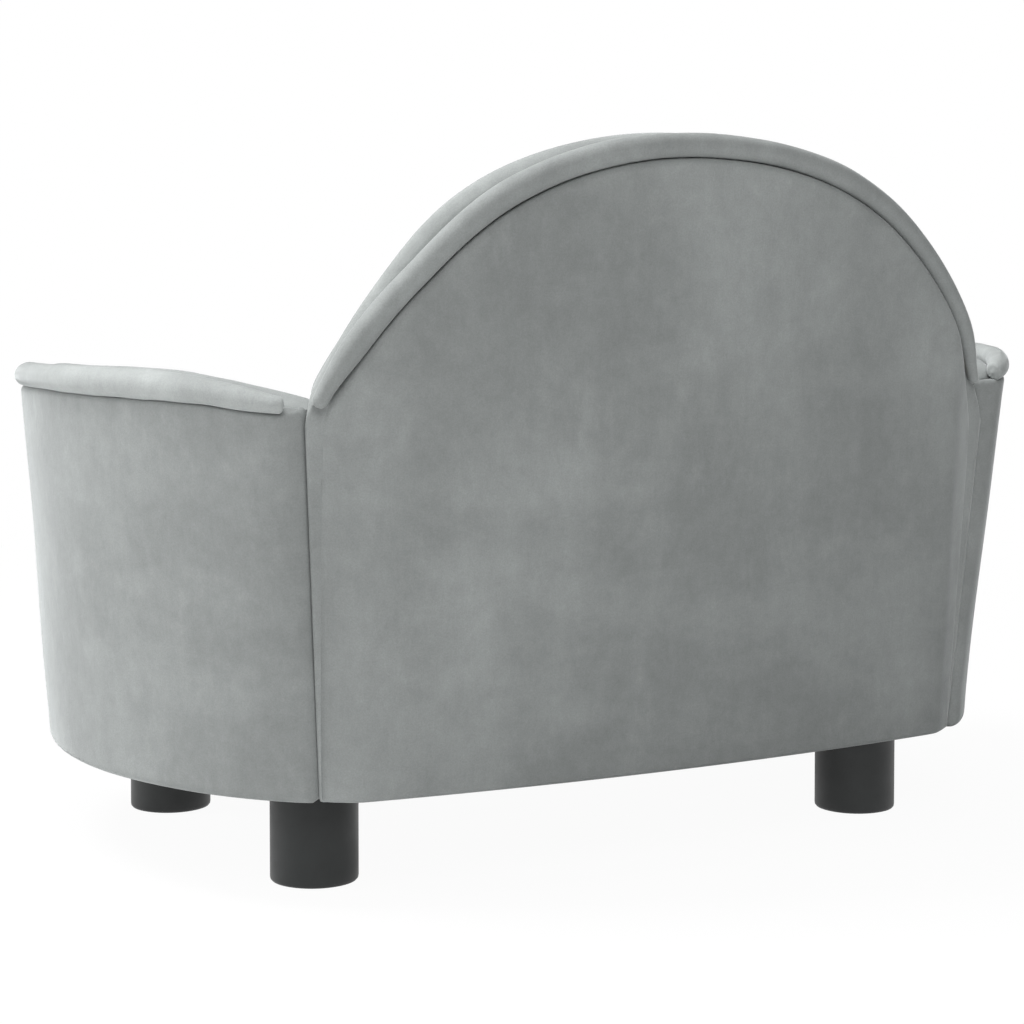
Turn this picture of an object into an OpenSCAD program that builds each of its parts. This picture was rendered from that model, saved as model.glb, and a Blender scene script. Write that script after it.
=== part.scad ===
// Small sofa bed for a dog: curved arms, a leaning round-topped back, a loose seat cushion
// and four round feet.
// X runs across, +Y points to the back, +Z is up.
// The origin is on the floor under the middle of the whole sofa.

/* [Overall] */
// Width across the rolled rims of the arms
sofa_w = 480; // [470:1:500]
// Depth from the front border to the rolled top of the back
sofa_d = 320; // [316:1:332]
// Height from the floor to the top of the back
sofa_h = 320; // [312:1:335]

/* [Feet] */
// Diameter of a foot
foot_d = 38.4; // [34:0.2:41]
// Height of a foot, from the floor to the underside of the sofa
foot_h = 44.5; // [38:0.5:50]
// Distance across between the feet, centre to centre
foot_span_x = 289; // [280:1:292]
// Distance from front to back between the feet, centre to centre
foot_span_y = 164.4; // [158:0.2:168]
// Bevel round the bottom edge of a foot
foot_bevel = 1; // [0.5:0.1:2]

/* [Frame] */
// Thickness of the arched back board
back_board_t = 9; // [8:0.5:10]
// Thickness of the bent arm boards
arm_board_t = 6; // [5:0.5:7]
// Thickness of the front rail board
rail_board_t = 12; // [10:0.5:13]
// Thickness of the seat deck
deck_t = 9; // [8:0.5:12]
// Side of the square blocks that take the feet
block_w = 46; // [45:0.5:50]
// Height of the square blocks that take the feet
block_h = 12; // [11:0.5:15]
// Length along the joint of the posts that are bolted together at the back corners
post_w = 20; // [16:1:24]
// Thickness of the arm posts
arm_post_t = 18; // [16:0.5:19]
// Thickness of the back posts
back_post_t = 14.5; // [13:0.5:15]

/* [Upholstery] */
// Thickness of the velvet
velvet = 1.2; // [0.8:0.1:1.6]
// Thickness of the wadding on the outside of the arms
arm_wad = 3; // [2:0.5:4]
// Least thickness of the wadding behind the back and in front of the rail
edge_wad = 3; // [2.5:0.5:4]
// Thickness of the foam inside the arms, at its edges
arm_foam = 22; // [20:0.5:24]
// Extra thickness of the foam inside the arms, at its crown
arm_crown = 6; // [2:0.5:8]
// Thickness of the foam on the front of the back, at its edges
back_foam_t = 16; // [15.5:0.5:18]
// Extra thickness of the foam on the front of the back, at its crown
back_crown = 8; // [3:0.5:10]
// Thickness of the black cloth under the sofa
dust_t = 1; // [0.6:0.1:1.2]

/* [Arms] */
// Height of the top of the arms' rolled rims
arm_h = 222; // [205:1:225]
// Outward lean of the arms, in degrees
arm_flare = 4.8; // [3.5:0.1:6]
// Half of the angle that each arm turns through, in degrees
arm_half_angle = 45; // [43:0.5:46]
// Radius of the roll along the rim of an arm
arm_roll_r = 6; // [4.5:0.5:6.5]
// How far the roll stands out beyond the arm's outer cover
arm_roll_reach = 4; // [3:0.5:5]
// Angle at each end of an arm that the roll leaves bare, in degrees
arm_roll_stop = 2.5; // [2:0.5:5]
// Height of the padded top of the arm above the arm board
arm_pad_rise = 6; // [4:0.5:8]

/* [Back] */
// Rearward lean of the back, in degrees
back_lean = 4.6; // [3.5:0.1:5.5]
// Radius of the outward bow of the back and of the front border
bow_r = 1200; // [1100:10:1500]
// How far the middle of the back stands behind the arms' ends, at the bottom
back_step = 17.2; // [16:0.2:19]
// How far inside the arms' outer corners the back's roll ends
roll_end_in = 4.4; // [3:0.2:7]
// How far below the top of the arms' rims the back's roll ends
roll_end_drop = 13.4; // [10:0.2:16]
// Radius of the roll round the back's rear edge
back_roll_r = 5.5; // [4.5:0.5:6]
// How far the roll's surface stands out behind the rear cover
back_roll_proud = 1.6; // [1:0.1:3]
// Width of the padding round the edge of the back board
board_edge_pad = 3; // [2:0.5:5]
// Bulge of the padded band along the edge of the back
band_crown = 3.5; // [1:0.5:4]
// Rounding of the back's front edge
back_front_round = 9; // [6:0.5:11]
// Half of the width of the back between its bevelled corners
corner_x = 150; // [146:1:153]
// Angle of the bevelled corners, in degrees
corner_angle = 35; // [30:1:40]

/* [Front] */
// Height of the top of the front border above the floor
rail_h = 88; // [82:1:94]
// How far the middle of the front border stands before the arms' ends
front_step = 15.3; // [14:0.2:17]
// Thickness of the padding on top of the front rail board
rail_pad = 5; // [3:0.5:7]

/* [Seat cushion] */
// Height of the seat cushion at its edges
cushion_h = 52; // [44:1:58]
// Crown of the seat cushion's top
cushion_crown = 10; // [4:0.5:14]
// How far the cushion's seams are drawn in behind its sides
cushion_draw = 4; // [2:0.5:6]
// Room left behind the cushion for the zip
zip_room = 6.5; // [6:0.5:9]

/* [Zip] */
// Length of the zip
zip_l = 230; // [160:5:236]
// Width of each of the two tapes
zip_tape_w = 10; // [8:0.5:11]
// Thickness of the tapes
zip_tape_t = 0.8; // [0.6:0.1:1]
// Length of tape beyond each end of the zip's opening
zip_end = 6; // [4:0.5:9]
// Radius of the coil
zip_coil_r = 1.5; // [1.2:0.1:1.7]
// Length of the slider
slider_l = 11; // [9:0.5:13]
// Width of the slider
slider_w = 7.6; // [6.6:0.2:8]
// Length of the puller
puller_l = 24; // [18:1:30]

/* [Fasteners] */
// Diameter of the bolts that hold the feet
foot_bolt_d = 8; // [6:0.5:9]
// Depth of the bolt in the foot
foot_bolt_in = 22; // [16:1:30]
// Diameter of the bolts that join the arms to the back
arm_bolt_d = 6; // [5:0.5:6]
// Outer diameter of the threaded inserts that take those bolts
insert_d = 9; // [8:0.5:9.5]
// Length of the threaded inserts
insert_l = 10; // [8:0.5:11]
// Shank diameter of the deck screws
screw_d = 3.5; // [3:0.1:4]
// Length of the deck screws
screw_l = 18; // [14:0.5:19]
// Shank diameter of the tacks
tack_d = 1.8; // [1.4:0.1:2.2]
// Length of the tacks
tack_l = 9; // [7:0.5:11]

/* [Hidden] */

$fn = 180;

// Clearances
thread_fit = 0.05;
soft_gap = 0.2;
body_gap = 0.4;
overrun = 10;

// Colours
velvet_grey = [0.62, 0.64, 0.63];
velvet_dark = [0.55, 0.57, 0.56];
wood = [0.80, 0.68, 0.48];
foam_cream = [0.93, 0.90, 0.80];
wadding_white = [0.95, 0.95, 0.95];
black_plastic = [0.15, 0.17, 0.17];
black_cloth = [0.10, 0.10, 0.11];
zinc = [0.78, 0.79, 0.80];

// Heights of the stack under the cushion
base_z = foot_h;
board_z = base_z + velvet;
block_z = base_z + dust_t;
deck_z = block_z + block_h;
deck_top = deck_z + deck_t;

// The back, in a frame that leans with it: depths are measured forward from its rearmost surface
corner_sag = bow_drop(corner_x, 0);
board_rear = velvet + edge_wad + corner_sag;
board_front = board_rear + back_board_t;
back_front = board_front + back_foam_t;
roll_depth = back_roll_r - back_roll_proud;
band_rear = roll_depth + back_roll_r + soft_gap + velvet;
arch_top = (sofa_h - base_z - back_roll_r - roll_depth * sin(back_lean)) / cos(back_lean);
lean_reach = arch_top * sin(back_lean) - roll_depth * cos(back_lean) + back_roll_r;

// The arms in plan: an arc about a vertical axis
arm_chord = sofa_d - front_step - back_step - lean_reach;
arm_r = arm_chord / 2 / sin(arm_half_angle);
arm_top = arm_h - 2 * arm_roll_r - soft_gap;
arm_rise = (arm_top - base_z) * tan(arm_flare);
arm_cx = sofa_w / 2 - arm_roll_reach - arm_r - arm_rise;
axis_y = arm_chord / 2 + front_step - sofa_d / 2;
arm_board_in = velvet + arm_wad;
arm_foam_in = arm_board_in + arm_board_t;
arm_pad_in = arm_foam_in + arm_foam;
arm_pad_top = arm_top + arm_pad_rise;
arm_board_top = arm_top - velvet;

// The arch of the back: the one circle that passes through the top and both ends of the roll
roll_end_x = arm_cx + (arm_r + arm_rise) * cos(arm_half_angle) - roll_end_in;
roll_end_z = (arm_h - roll_end_drop - base_z) / cos(back_lean);
roll_end_angle = 90 - 2 * atan((arch_top - roll_end_z) / roll_end_x);
roll_arc_r = roll_end_x / cos(roll_end_angle);
arch_cz = arch_top - roll_arc_r;
skin_arc_r = roll_arc_r - back_roll_r - soft_gap;
board_arc_r = skin_arc_r - board_edge_pad;
roll_steps = 36;
roll_sides = 12;
tip_steps = 3;

// The front border
back_y = arm_chord / 2 + back_step;
front_y = -arm_chord / 2 - front_step;
rail_rear = board_rear + rail_board_t;
rail_in = rail_rear + velvet;

// The seat well and its cushion
cushion_z = deck_top + body_gap;
cushion_front = front_y + rail_in + body_gap;
back_face = back_y - (back_front + back_crown + velvet) * cos(back_lean)
    + (deck_top - base_z) * sin(back_lean);
cushion_rear = back_face - zip_room;
cushion_cy = (cushion_front + cushion_rear) / 2;
cushion_half = (cushion_rear - cushion_front) / 2;
well_steps = 12;
cushion_r = min([for (i = [0:well_steps]) pad_face(cushion_z + cushion_h * i / well_steps)]) - body_gap;
corner_power = 24;
cushion_sides = 48;
crown_rings = 6;
crown_power = 3;
boxing_rings = 6;
boxing_power = 4;

// The joint posts and bolts
post_z = deck_top;
post_top = arm_top - arm_roll_r;
post_turn = atan(2 * post_w / arm_r);
bolt_share = [0.22, 0.78];
arm_bolt_mid = arm_foam_in + arm_post_t / 2;
arm_bolt_head_h = arm_bolt_d * 2 / 3;
arm_bolt_head_r = arm_bolt_d * 0.9;
arm_bolt_in = velvet + insert_l - arm_bolt_d / 6;
arm_bolt_out = velvet + post_w;

// The foot fixings
t_nut_flange_r = foot_bolt_d * 1.4;
t_nut_flange_t = block_h / 8;
t_nut_barrel_r = foot_bolt_d * 0.65;
screw_place = block_w / 2 - screw_d * 2;
tack_place = block_w / 2 - tack_d * 2;
tack_head_r = tack_d * 1.6;
tack_head_t = tack_d / 3;
screw_head_r = screw_d;
screw_head_h = screw_d * 0.7;

// The zip, behind the cushion at half its height
zip_z = cushion_z + cushion_h / 2;
zip_face = cushion_rear - velvet - 2 * soft_gap;
zip_slot_h = slider_w + 4 * soft_gap;
zip_slot_l = zip_l - 2 * zip_end;
zip_web = zip_coil_r / 2;
coil_y = zip_face + zip_coil_r + zip_web;
slider_gap = 0.3;
slider_wall = 1;
slider_y = zip_face + slider_gap;
slider_t = 2 * zip_coil_r + zip_web + slider_wall;
slider_x = -zip_slot_l / 2 + slider_l / 2 + body_gap;
bridge_t = 0.8;
bridge_h = 0.9;
puller_t = 0.7;
puller_w = slider_w * 0.6;

// How far the bowed outer side has fallen back at a distance from the middle, set in by a margin
function bow_drop(x, inset) = bow_r - sqrt(pow(bow_r - inset, 2) - pow(x, 2));

// Distance from an arm's axis to the face of its inner pad at a height
function pad_face(z) = arm_rho(z, arm_pad_in + velvet
    + arm_crown * sin(180 * (arm_top - z) / (arm_top - deck_top)));

// Distance from an arm's axis to a surface that lies at a given depth inside its outer cover
function arm_rho(z, depth) = arm_r + (z - base_z) * tan(arm_flare) - depth;

// Everything is drawn about the arms' shared centre line and then moved to the sofa's origin
module place() translate([0, axis_y, 0]) children();
module on_side(side) mirror([side < 0 ? 1 : 0, 0, 0]) children();
module lean_back() translate([0, back_y, base_z]) rotate([-back_lean, 0, 0]) children();

// A part of an arm: a profile of distance and height, turned about the arm's axis
module arm_turn(from, to) translate([arm_cx, 0, 0])
    rotate_extrude(angle = to - from, start = from) children();

module arm_band(outer, inner, low, high) polygon([
    [arm_rho(low, inner), low],
    [arm_rho(low, outer), low],
    [arm_rho(high, outer), high],
    [arm_rho(high, inner), high]
]);

// The crowned padding on the inside of an arm, grown by a skin
function arm_pad_points(grow, low) = let (
    steps = 10,
    mid = (arm_foam_in + arm_pad_in) / 2,
    half = (arm_pad_in - arm_foam_in) / 2
) concat(
    [
        [arm_rho(low, arm_foam_in), low],
        [arm_rho(arm_top, arm_foam_in), arm_top],
        [arm_rho(arm_top, arm_foam_in - grow), arm_top]
    ],
    [for (i = [1:steps - 1]) let (t = 180 * i / steps)
        [arm_rho(arm_top, mid) + (half + grow) * cos(t), arm_top + (arm_pad_rise + grow) * sin(t)]],
    [for (i = [0:steps]) let (t = i / steps, z = arm_top + (low - arm_top) * t)
        [arm_rho(z, arm_pad_in + grow + arm_crown * sin(180 * t)), z]]
);

// The room between the two joint planes of the back, or of the front, set in by a margin
function joint_x(y, margin) = arm_cx + abs(y) / tan(arm_half_angle) - margin / sin(arm_half_angle);

module joint_wedge(margin, low, high, way) let (far = sofa_d) translate([0, 0, low])
    linear_extrude(high - low) polygon([
        [-joint_x(0, margin), 0],
        [joint_x(0, margin), 0],
        [joint_x(far, margin), way * far],
        [-joint_x(far, margin), way * far]
    ]);

module back_zone(margin) joint_wedge(margin, base_z + margin, 2 * sofa_h, 1);

// A plain bow with its rearmost line on the x axis, set in by a margin
module bow(inset, low, high) translate([0, -bow_r, low])
    cylinder(r = bow_r - inset, h = high - low, $fn = 720);

// The bowed and bevelled outer side that the back and the front border share, set in by a skin.
// It is drawn with its rearmost line on the x axis.
module bowed_side(inset, low, high) let (
    reach = sofa_w,
    drop = corner_sag + inset / cos(corner_angle),
    run = reach - corner_x
) intersection() {
    bow(inset, low, high);
    translate([0, 0, low]) linear_extrude(high - low) polygon([
        [-corner_x, -drop], [-corner_x, overrun], [corner_x, overrun], [corner_x, -drop],
        [reach, -drop - run * tan(corner_angle)], [reach, -reach],
        [-reach, -reach], [-reach, -drop - run * tan(corner_angle)]
    ]);
}

// The arch: a profile of radius and depth, turned over the top and run straight down below
module arch(points) {
    translate([0, 0, arch_cz]) rotate([90, 0, 0]) rotate_extrude(angle = 180) polygon(points);
    translate([0, 0, -overrun]) linear_extrude(arch_cz + overrun)
        polygon(concat([for (p = points) [p.x, -p.y]],
            [for (i = [len(points) - 1:-1:0]) [-points[i].x, -points[i].y]]));
}

function arch_slab(radius, rear, front) = [[0, rear], [radius, rear], [radius, front], [0, front]];

// The padded front and edge of the back, grown by a skin, with everything behind it filled
function back_pad_points(grow) = let (
    steps = 8,
    edge_r = roll_arc_r - velvet + grow,
    edge = back_front - back_front_round,
    inner_r = edge_r - back_front_round
) concat(
    [[0, -overrun], [edge_r, -overrun]],
    [for (i = [0:steps]) let (t = i / steps)
        [edge_r + band_crown * sin(180 * t), roll_depth + (edge - roll_depth) * t]],
    [for (i = [1:steps]) let (t = 90 * i / steps, r = inner_r + back_front_round * cos(t))
        [r, edge + (back_front_round + grow) * sin(t) + back_crown * (1 - pow(r / edge_r, 2))]],
    [for (i = [1:steps]) let (r = inner_r * (1 - i / steps))
        [r, back_front + grow + back_crown * (1 - pow(r / edge_r, 2))]]
);

module back_pad(grow, margin) intersection() {
    lean_back() intersection() {
        arch(back_pad_points(grow));
        bow(band_rear - grow, -overrun, sofa_h);
        bowed_side(velvet - grow, -overrun, sofa_h);
    }
    back_zone(margin);
}

module back_core(rear, front) lean_back() arch(arch_slab(skin_arc_r, rear, front));

// The room under the seat's top, which the deck and what is beside it need
module under_deck() translate([-sofa_w / 2, -sofa_d / 2, 0]) cube([sofa_w, sofa_d, deck_top]);

// What lies in front of the back board's front face
module before_back_board() lean_back() translate([-sofa_w / 2, -sofa_d - board_front, -overrun])
    cube([sofa_w, sofa_d, sofa_h]);

module back_board_body() intersection() {
    lean_back() intersection() {
        arch(arch_slab(board_arc_r, board_rear, board_front));
        bowed_side(board_edge_pad, -overrun, sofa_h);
    }
    back_zone(velvet);
}

// Timber
module seat_deck() color(wood) place() difference() {
    intersection() {
        translate([-sofa_w / 2, front_y + rail_rear, deck_z])
            cube([sofa_w, back_y - board_front * cos(back_lean) + (deck_z - base_z) * sin(back_lean)
                - soft_gap - front_y - rail_rear, deck_t]);
        for (side = [-1, 1]) translate([side * arm_cx, 0, deck_z])
            cylinder(r = arm_rho(deck_z, arm_foam_in) - soft_gap, h = deck_t);
    }
    each_block() deck_screw(thread_fit);
}

module front_rail_board() color(wood) place() intersection() {
    translate([-sofa_w / 2, front_y + board_rear, board_z])
        cube([sofa_w, rail_board_t, rail_h - velvet - rail_pad - board_z]);
    joint_wedge(velvet, board_z, rail_h, -1);
    translate([0, front_y, 0]) mirror([0, 1, 0]) bowed_side(velvet, 0, rail_h);
}

module back_board() color(wood) place() difference() {
    back_board_body();
    for (side = [-1, 1]) on_side(side) at_bolts() insert_room();
}

module arm_board(side) color(wood) place() on_side(side)
    arm_turn(-arm_end(), arm_end()) arm_band(arm_board_in, arm_foam_in, board_z, arm_board_top);

// Half of the angle of an arm's inner layers, which leaves the thickness of the velvet at each end
function arm_end() = arm_half_angle - asin(velvet / arm_r);

module arm_board_left() arm_board(1);
module arm_board_right() arm_board(-1);

// Places of the four blocks: the children are drawn at each block's centre line
module at_block(side, end) translate([side * foot_span_x / 2, end * foot_span_y / 2, 0]) children();
module each_block() for (side = [-1, 1], end = [-1, 1]) at_block(side, end) children();

module deck_screw(grow) for (way = [-1, 1]) translate([way * screw_place, way * screw_place, 0])
    rotate_extrude() polygon([
        [0, deck_top - screw_l - grow],
        [screw_d / 2 + grow, deck_top - screw_l + screw_d - grow],
        [screw_d / 2 + grow, deck_top - screw_head_h - grow],
        [screw_head_r + grow, deck_top],
        [0, deck_top]
    ]);

module tack(grow) for (way = [-1, 1]) translate([way * tack_place, -way * tack_place, 0])
    rotate_extrude() polygon([
        [0, base_z - tack_head_t],
        [tack_head_r, base_z - tack_head_t],
        [tack_head_r, base_z],
        [tack_d / 2 + grow, base_z],
        [tack_d / 2 + grow, base_z + tack_l - tack_d],
        [0, base_z + tack_l + grow]
    ]);

module foot_block(side, end) color(wood) place() at_block(side, end) difference() {
    translate([-block_w / 2, -block_w / 2, block_z]) cube([block_w, block_w, block_h]);
    translate([0, 0, base_z]) cylinder(r = t_nut_barrel_r + thread_fit, h = deck_top - base_z);
    translate([0, 0, deck_z - t_nut_flange_t - thread_fit])
        cylinder(r = t_nut_flange_r + thread_fit, h = deck_t);
    deck_screw(thread_fit);
    tack(thread_fit);
}

module foot_block_front_left() foot_block(1, -1);
module foot_block_front_right() foot_block(-1, -1);
module foot_block_rear_left() foot_block(1, 1);
module foot_block_rear_right() foot_block(-1, 1);

// A slab that lies along the joint plane: its near and far sides are measured square to the plane
module joint_slab(near, far, low, high) translate([arm_cx, 0, low]) rotate([0, 0, arm_half_angle])
    translate([0, near, 0]) cube([sofa_w, far - near, high - low]);

module arm_post_shape() intersection() {
    arm_turn(arm_end() - post_turn, arm_end())
        arm_band(arm_foam_in, arm_foam_in + arm_post_t, post_z, post_top);
    joint_slab(-velvet - post_w, velvet, post_z, post_top);
}

module back_post_shape() intersection() {
    lean_back() intersection() {
        translate([0, -board_front - back_post_t, -overrun]) cube([sofa_w, back_post_t, sofa_h]);
        bowed_side(velvet, -overrun, sofa_h);
    }
    joint_slab(velvet, velvet + post_w, post_z, post_top);
}

// Bolts through an arm's post into the back's post, square to the joint plane
module at_bolts() for (share = bolt_share) let (z = post_z + (post_top - post_z) * share)
    translate([arm_cx, 0, 0]) rotate([0, 0, arm_half_angle])
        translate([arm_rho(z, arm_bolt_mid), 0, z]) rotate([-90, 0, 0]) children();

module bolt_shank(grow) translate([0, 0, -arm_bolt_out - grow])
    cylinder(d = arm_bolt_d + 2 * grow, h = arm_bolt_out + arm_bolt_in + 2 * grow);

module bolt_head(grow) translate([0, 0, -arm_bolt_out - arm_bolt_head_h - grow])
    cylinder(r = arm_bolt_head_r + grow, h = arm_bolt_head_h + grow);

module insert_room() translate([0, 0, velvet])
    cylinder(d = insert_d + 2 * thread_fit, h = insert_l + thread_fit);

module arm_post(side) color(wood) place() on_side(side) difference() {
    arm_post_shape();
    at_bolts() bolt_shank(thread_fit);
}

module back_post(side) color(wood) place() on_side(side) difference() {
    back_post_shape();
    at_bolts() insert_room();
}

module arm_post_left() arm_post(1);
module arm_post_right() arm_post(-1);
module back_post_left() back_post(1);
module back_post_right() back_post(-1);

// Fasteners
module arm_bolts() color(zinc) place() for (side = [-1, 1]) on_side(side) at_bolts() {
    bolt_shank(0);
    bolt_head(0);
}

module threaded_inserts() color(zinc) place() for (side = [-1, 1]) on_side(side) at_bolts() difference() {
    translate([0, 0, velvet]) cylinder(d = insert_d, h = insert_l);
    bolt_shank(thread_fit);
}

module foot_bolts() color(zinc) place() each_block() translate([0, 0, foot_h - foot_bolt_in])
    cylinder(d = foot_bolt_d, h = foot_bolt_in + dust_t + block_h - thread_fit);

module t_nuts() color(zinc) place() each_block() difference() {
    union() {
        translate([0, 0, deck_z - block_h * 3 / 4]) cylinder(r = t_nut_barrel_r, h = block_h * 3 / 4);
        translate([0, 0, deck_z - t_nut_flange_t]) cylinder(r = t_nut_flange_r, h = t_nut_flange_t);
    }
    translate([0, 0, base_z]) cylinder(d = foot_bolt_d + 2 * thread_fit, h = deck_top - base_z);
}

module deck_screws() color(zinc) place() each_block() deck_screw(0);

module dust_cloth_tacks() color(zinc) place() each_block() tack(0);

module dust_cloth() color(black_cloth) place() difference() {
    intersection() {
        translate([-sofa_w / 2, front_y + rail_in + soft_gap, base_z])
            cube([sofa_w, back_y - (back_front + velvet) * cos(back_lean) - soft_gap - front_y - rail_in
                - soft_gap, dust_t]);
        for (side = [-1, 1]) translate([side * arm_cx, 0, base_z])
            cylinder(r = arm_rho(base_z, arm_foam_in + velvet), h = dust_t);
    }
    each_block() {
        translate([0, 0, base_z - overrun]) cylinder(d = foot_bolt_d + 2 * soft_gap, h = 2 * overrun);
        tack(thread_fit);
    }
}

// Padding
module back_wadding() color(wadding_white) place() intersection() {
    lean_back() intersection() {
        arch(arch_slab(skin_arc_r, -overrun, board_rear));
        bowed_side(velvet, -overrun, sofa_h);
    }
    back_zone(velvet);
}

module back_foam() color(foam_cream) place() difference() {
    back_pad(0, velvet);
    back_core(-2 * overrun, board_rear);
    back_board_body();
    intersection() {
        under_deck();
        before_back_board();
    }
    for (side = [-1, 1]) on_side(side) back_post_shape();
}

module arm_wadding(side) color(wadding_white) place() on_side(side)
    arm_turn(-arm_end(), arm_end()) arm_band(velvet + soft_gap, arm_board_in, board_z, arm_board_top);

module arm_foam_pad(side) color(foam_cream) place() on_side(side) difference() {
    arm_turn(-arm_end(), arm_end()) polygon(arm_pad_points(0, deck_top));
    arm_post_shape();
    at_bolts() bolt_head(soft_gap);
}

module arm_wadding_left() arm_wadding(1);
module arm_wadding_right() arm_wadding(-1);
module arm_foam_left() arm_foam_pad(1);
module arm_foam_right() arm_foam_pad(-1);

module rail_body(inset) intersection() {
    translate([0, front_y, 0]) mirror([0, 1, 0]) bowed_side(inset, base_z + inset, rail_h - inset);
    joint_wedge(inset, base_z + inset, rail_h - inset, -1);
    translate([-sofa_w / 2, front_y, 0]) cube([sofa_w, rail_in - inset, rail_h]);
}

module front_wadding() color(wadding_white) place() difference() {
    rail_body(velvet);
    translate([-sofa_w / 2, front_y + board_rear, 0])
        cube([sofa_w, rail_in, rail_h - velvet - rail_pad]);
}

// Covers
module back_cover_rear() color(velvet_grey) place() difference() {
    intersection() {
        lean_back() intersection() {
            arch(arch_slab(skin_arc_r, -overrun, board_front));
            bowed_side(0, -overrun, sofa_h);
        }
        back_zone(0);
    }
    intersection() {
        lean_back() bowed_side(velvet, -2 * overrun, sofa_h + overrun);
        back_zone(velvet);
    }
}

module back_cover_front() color(velvet_dark) place() difference() {
    back_pad(velvet, 0);
    back_pad(0, velvet);
    back_core(-2 * overrun, board_front);
    intersection() {
        under_deck();
        before_back_board();
    }
    for (side = [-1, 1]) on_side(side) at_bolts() bolt_shank(thread_fit);
}

module arm_cover_outer(side) color(velvet_grey) place() on_side(side) {
    arm_turn(-arm_half_angle, arm_half_angle) {
        arm_band(0, velvet, base_z, arm_top);
        arm_band(0, arm_foam_in, base_z, board_z);
        arm_band(0, arm_foam_in, arm_board_top, arm_top);
    }
    for (way = [-1, 1]) arm_turn(way < 0 ? -arm_half_angle : arm_end(), way < 0 ? -arm_end() : arm_half_angle)
        arm_band(0, arm_foam_in, base_z, arm_top);
}

module arm_cover_inner(side) color(velvet_dark) place() on_side(side) difference() {
    union() {
        arm_turn(-arm_half_angle, arm_half_angle) difference() {
            polygon(arm_pad_points(velvet, deck_top));
            polygon(arm_pad_points(0, deck_top));
        }
        for (way = [-1, 1])
            arm_turn(way < 0 ? -arm_half_angle : arm_end(), way < 0 ? -arm_end() : arm_half_angle)
                polygon(arm_pad_points(velvet, deck_top));
    }
    at_bolts() bolt_shank(thread_fit);
}

module arm_cover_outer_left() arm_cover_outer(1);
module arm_cover_outer_right() arm_cover_outer(-1);
module arm_cover_inner_left() arm_cover_inner(1);
module arm_cover_inner_right() arm_cover_inner(-1);

module front_border_cover() color(velvet_grey) place() difference() {
    rail_body(0);
    rail_body(velvet);
    translate([-sofa_w / 2, front_y + rail_rear, 0]) cube([sofa_w, sofa_d, deck_top]);
}

// Rolls
// The back's roll follows the bow: rings of points along the arch, with rounded tips
function roll_ring(a, r) = let (x = roll_arc_r * cos(a), depth = roll_depth + bow_drop(x, 0))
    [for (i = [0:roll_sides - 1]) let (t = 360 * i / roll_sides, out = roll_arc_r + r * cos(t))
        [out * cos(a), r * sin(t) - depth, arch_cz + out * sin(a)]];

function roll_tip(a) = roll_ring(a, 0)[0];

tip_turn = back_roll_r / roll_arc_r * 180 / PI;

module back_roll() color(velvet_grey) place() lean_back() let (
    from = roll_end_angle,
    to = 180 - roll_end_angle,
    ends = [for (k = [1:tip_steps]) 90 * k / (tip_steps + 1)]
) ring_solid(roll_sides, concat(
    [for (k = ends) roll_ring(from - tip_turn * cos(k), back_roll_r * sin(k))],
    [for (i = [0:roll_steps]) roll_ring(from + (to - from) * i / roll_steps, back_roll_r)],
    [for (k = reversed(ends)) roll_ring(to + tip_turn * cos(k), back_roll_r * sin(k))]
), roll_tip(from - tip_turn), roll_tip(to + tip_turn));

module arm_roll(side) color(velvet_grey) place() on_side(side)
    arm_turn(-arm_half_angle + arm_roll_stop, arm_half_angle - arm_roll_stop)
        translate([arm_rho(arm_top, arm_roll_r - arm_roll_reach), arm_h - arm_roll_r])
            circle(r = arm_roll_r);

module arm_roll_left() arm_roll(1);
module arm_roll_right() arm_roll(-1);

// Feet
module foot(side, end) color(black_plastic) place() at_block(side, end) difference() {
    rotate_extrude() polygon([
        [0, 0],
        [foot_d / 2 - foot_bevel, 0],
        [foot_d / 2, foot_bevel],
        [foot_d / 2, foot_h],
        [0, foot_h]
    ]);
    translate([0, 0, foot_h - foot_bolt_in - thread_fit])
        cylinder(d = foot_bolt_d + 2 * thread_fit, h = foot_bolt_in + overrun);
}

module foot_front_left() foot(1, -1);
module foot_front_right() foot(-1, -1);
module foot_rear_left() foot(1, 1);
module foot_rear_right() foot(-1, 1);

// The cushion's outline: how far it reaches from its middle at an angle, set in by a margin
function cushion_reach(a, margin) = let (
    cx = (cos(a) < 0 ? -1 : 1) * arm_cx,
    along = cx * cos(a) - cushion_cy * sin(a),
    side = along + sqrt(pow(along, 2) - pow(arm_cx, 2) - pow(cushion_cy, 2) + pow(cushion_r - margin, 2)),
    end = abs(sin(a)) / (cushion_half - margin)
) pow(pow(1 / side, corner_power) + pow(end, corner_power), -1 / corner_power);

// One ring of points: set in by a margin, then shrunk to a share of its size, at a height
function cushion_ring(margin, share, z) = [for (i = [0:cushion_sides - 1])
    let (a = 360 * i / cushion_sides, r = cushion_reach(a, margin) * share)
    [r * cos(a), cushion_cy + r * sin(a), z]];

function crown_share(i) = 1 - pow(i / crown_rings, 1.4);

// The rings of a crowned face from its edge inwards
function crown_face(margin, z, rise) = [for (i = [0:crown_rings - 1]) let (s = crown_share(i))
    cushion_ring(margin, s, z + rise * (1 - pow(s, crown_power)))];

// Triangles between rings that are listed one after another, all with the same number of points
function between(sides, rings, first) = [for (k = [0:rings - 2], i = [0:sides - 1], half = [0, 1])
    let (
        a = first + k * sides + i,
        b = first + k * sides + (i + 1) % sides,
        c = a + sides,
        d = b + sides
    ) half == 0 ? [a, c, b] : [b, c, d]];

function fan(sides, first, tip) = [for (i = [0:sides - 1]) [first + i, tip, first + (i + 1) % sides]];

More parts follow.
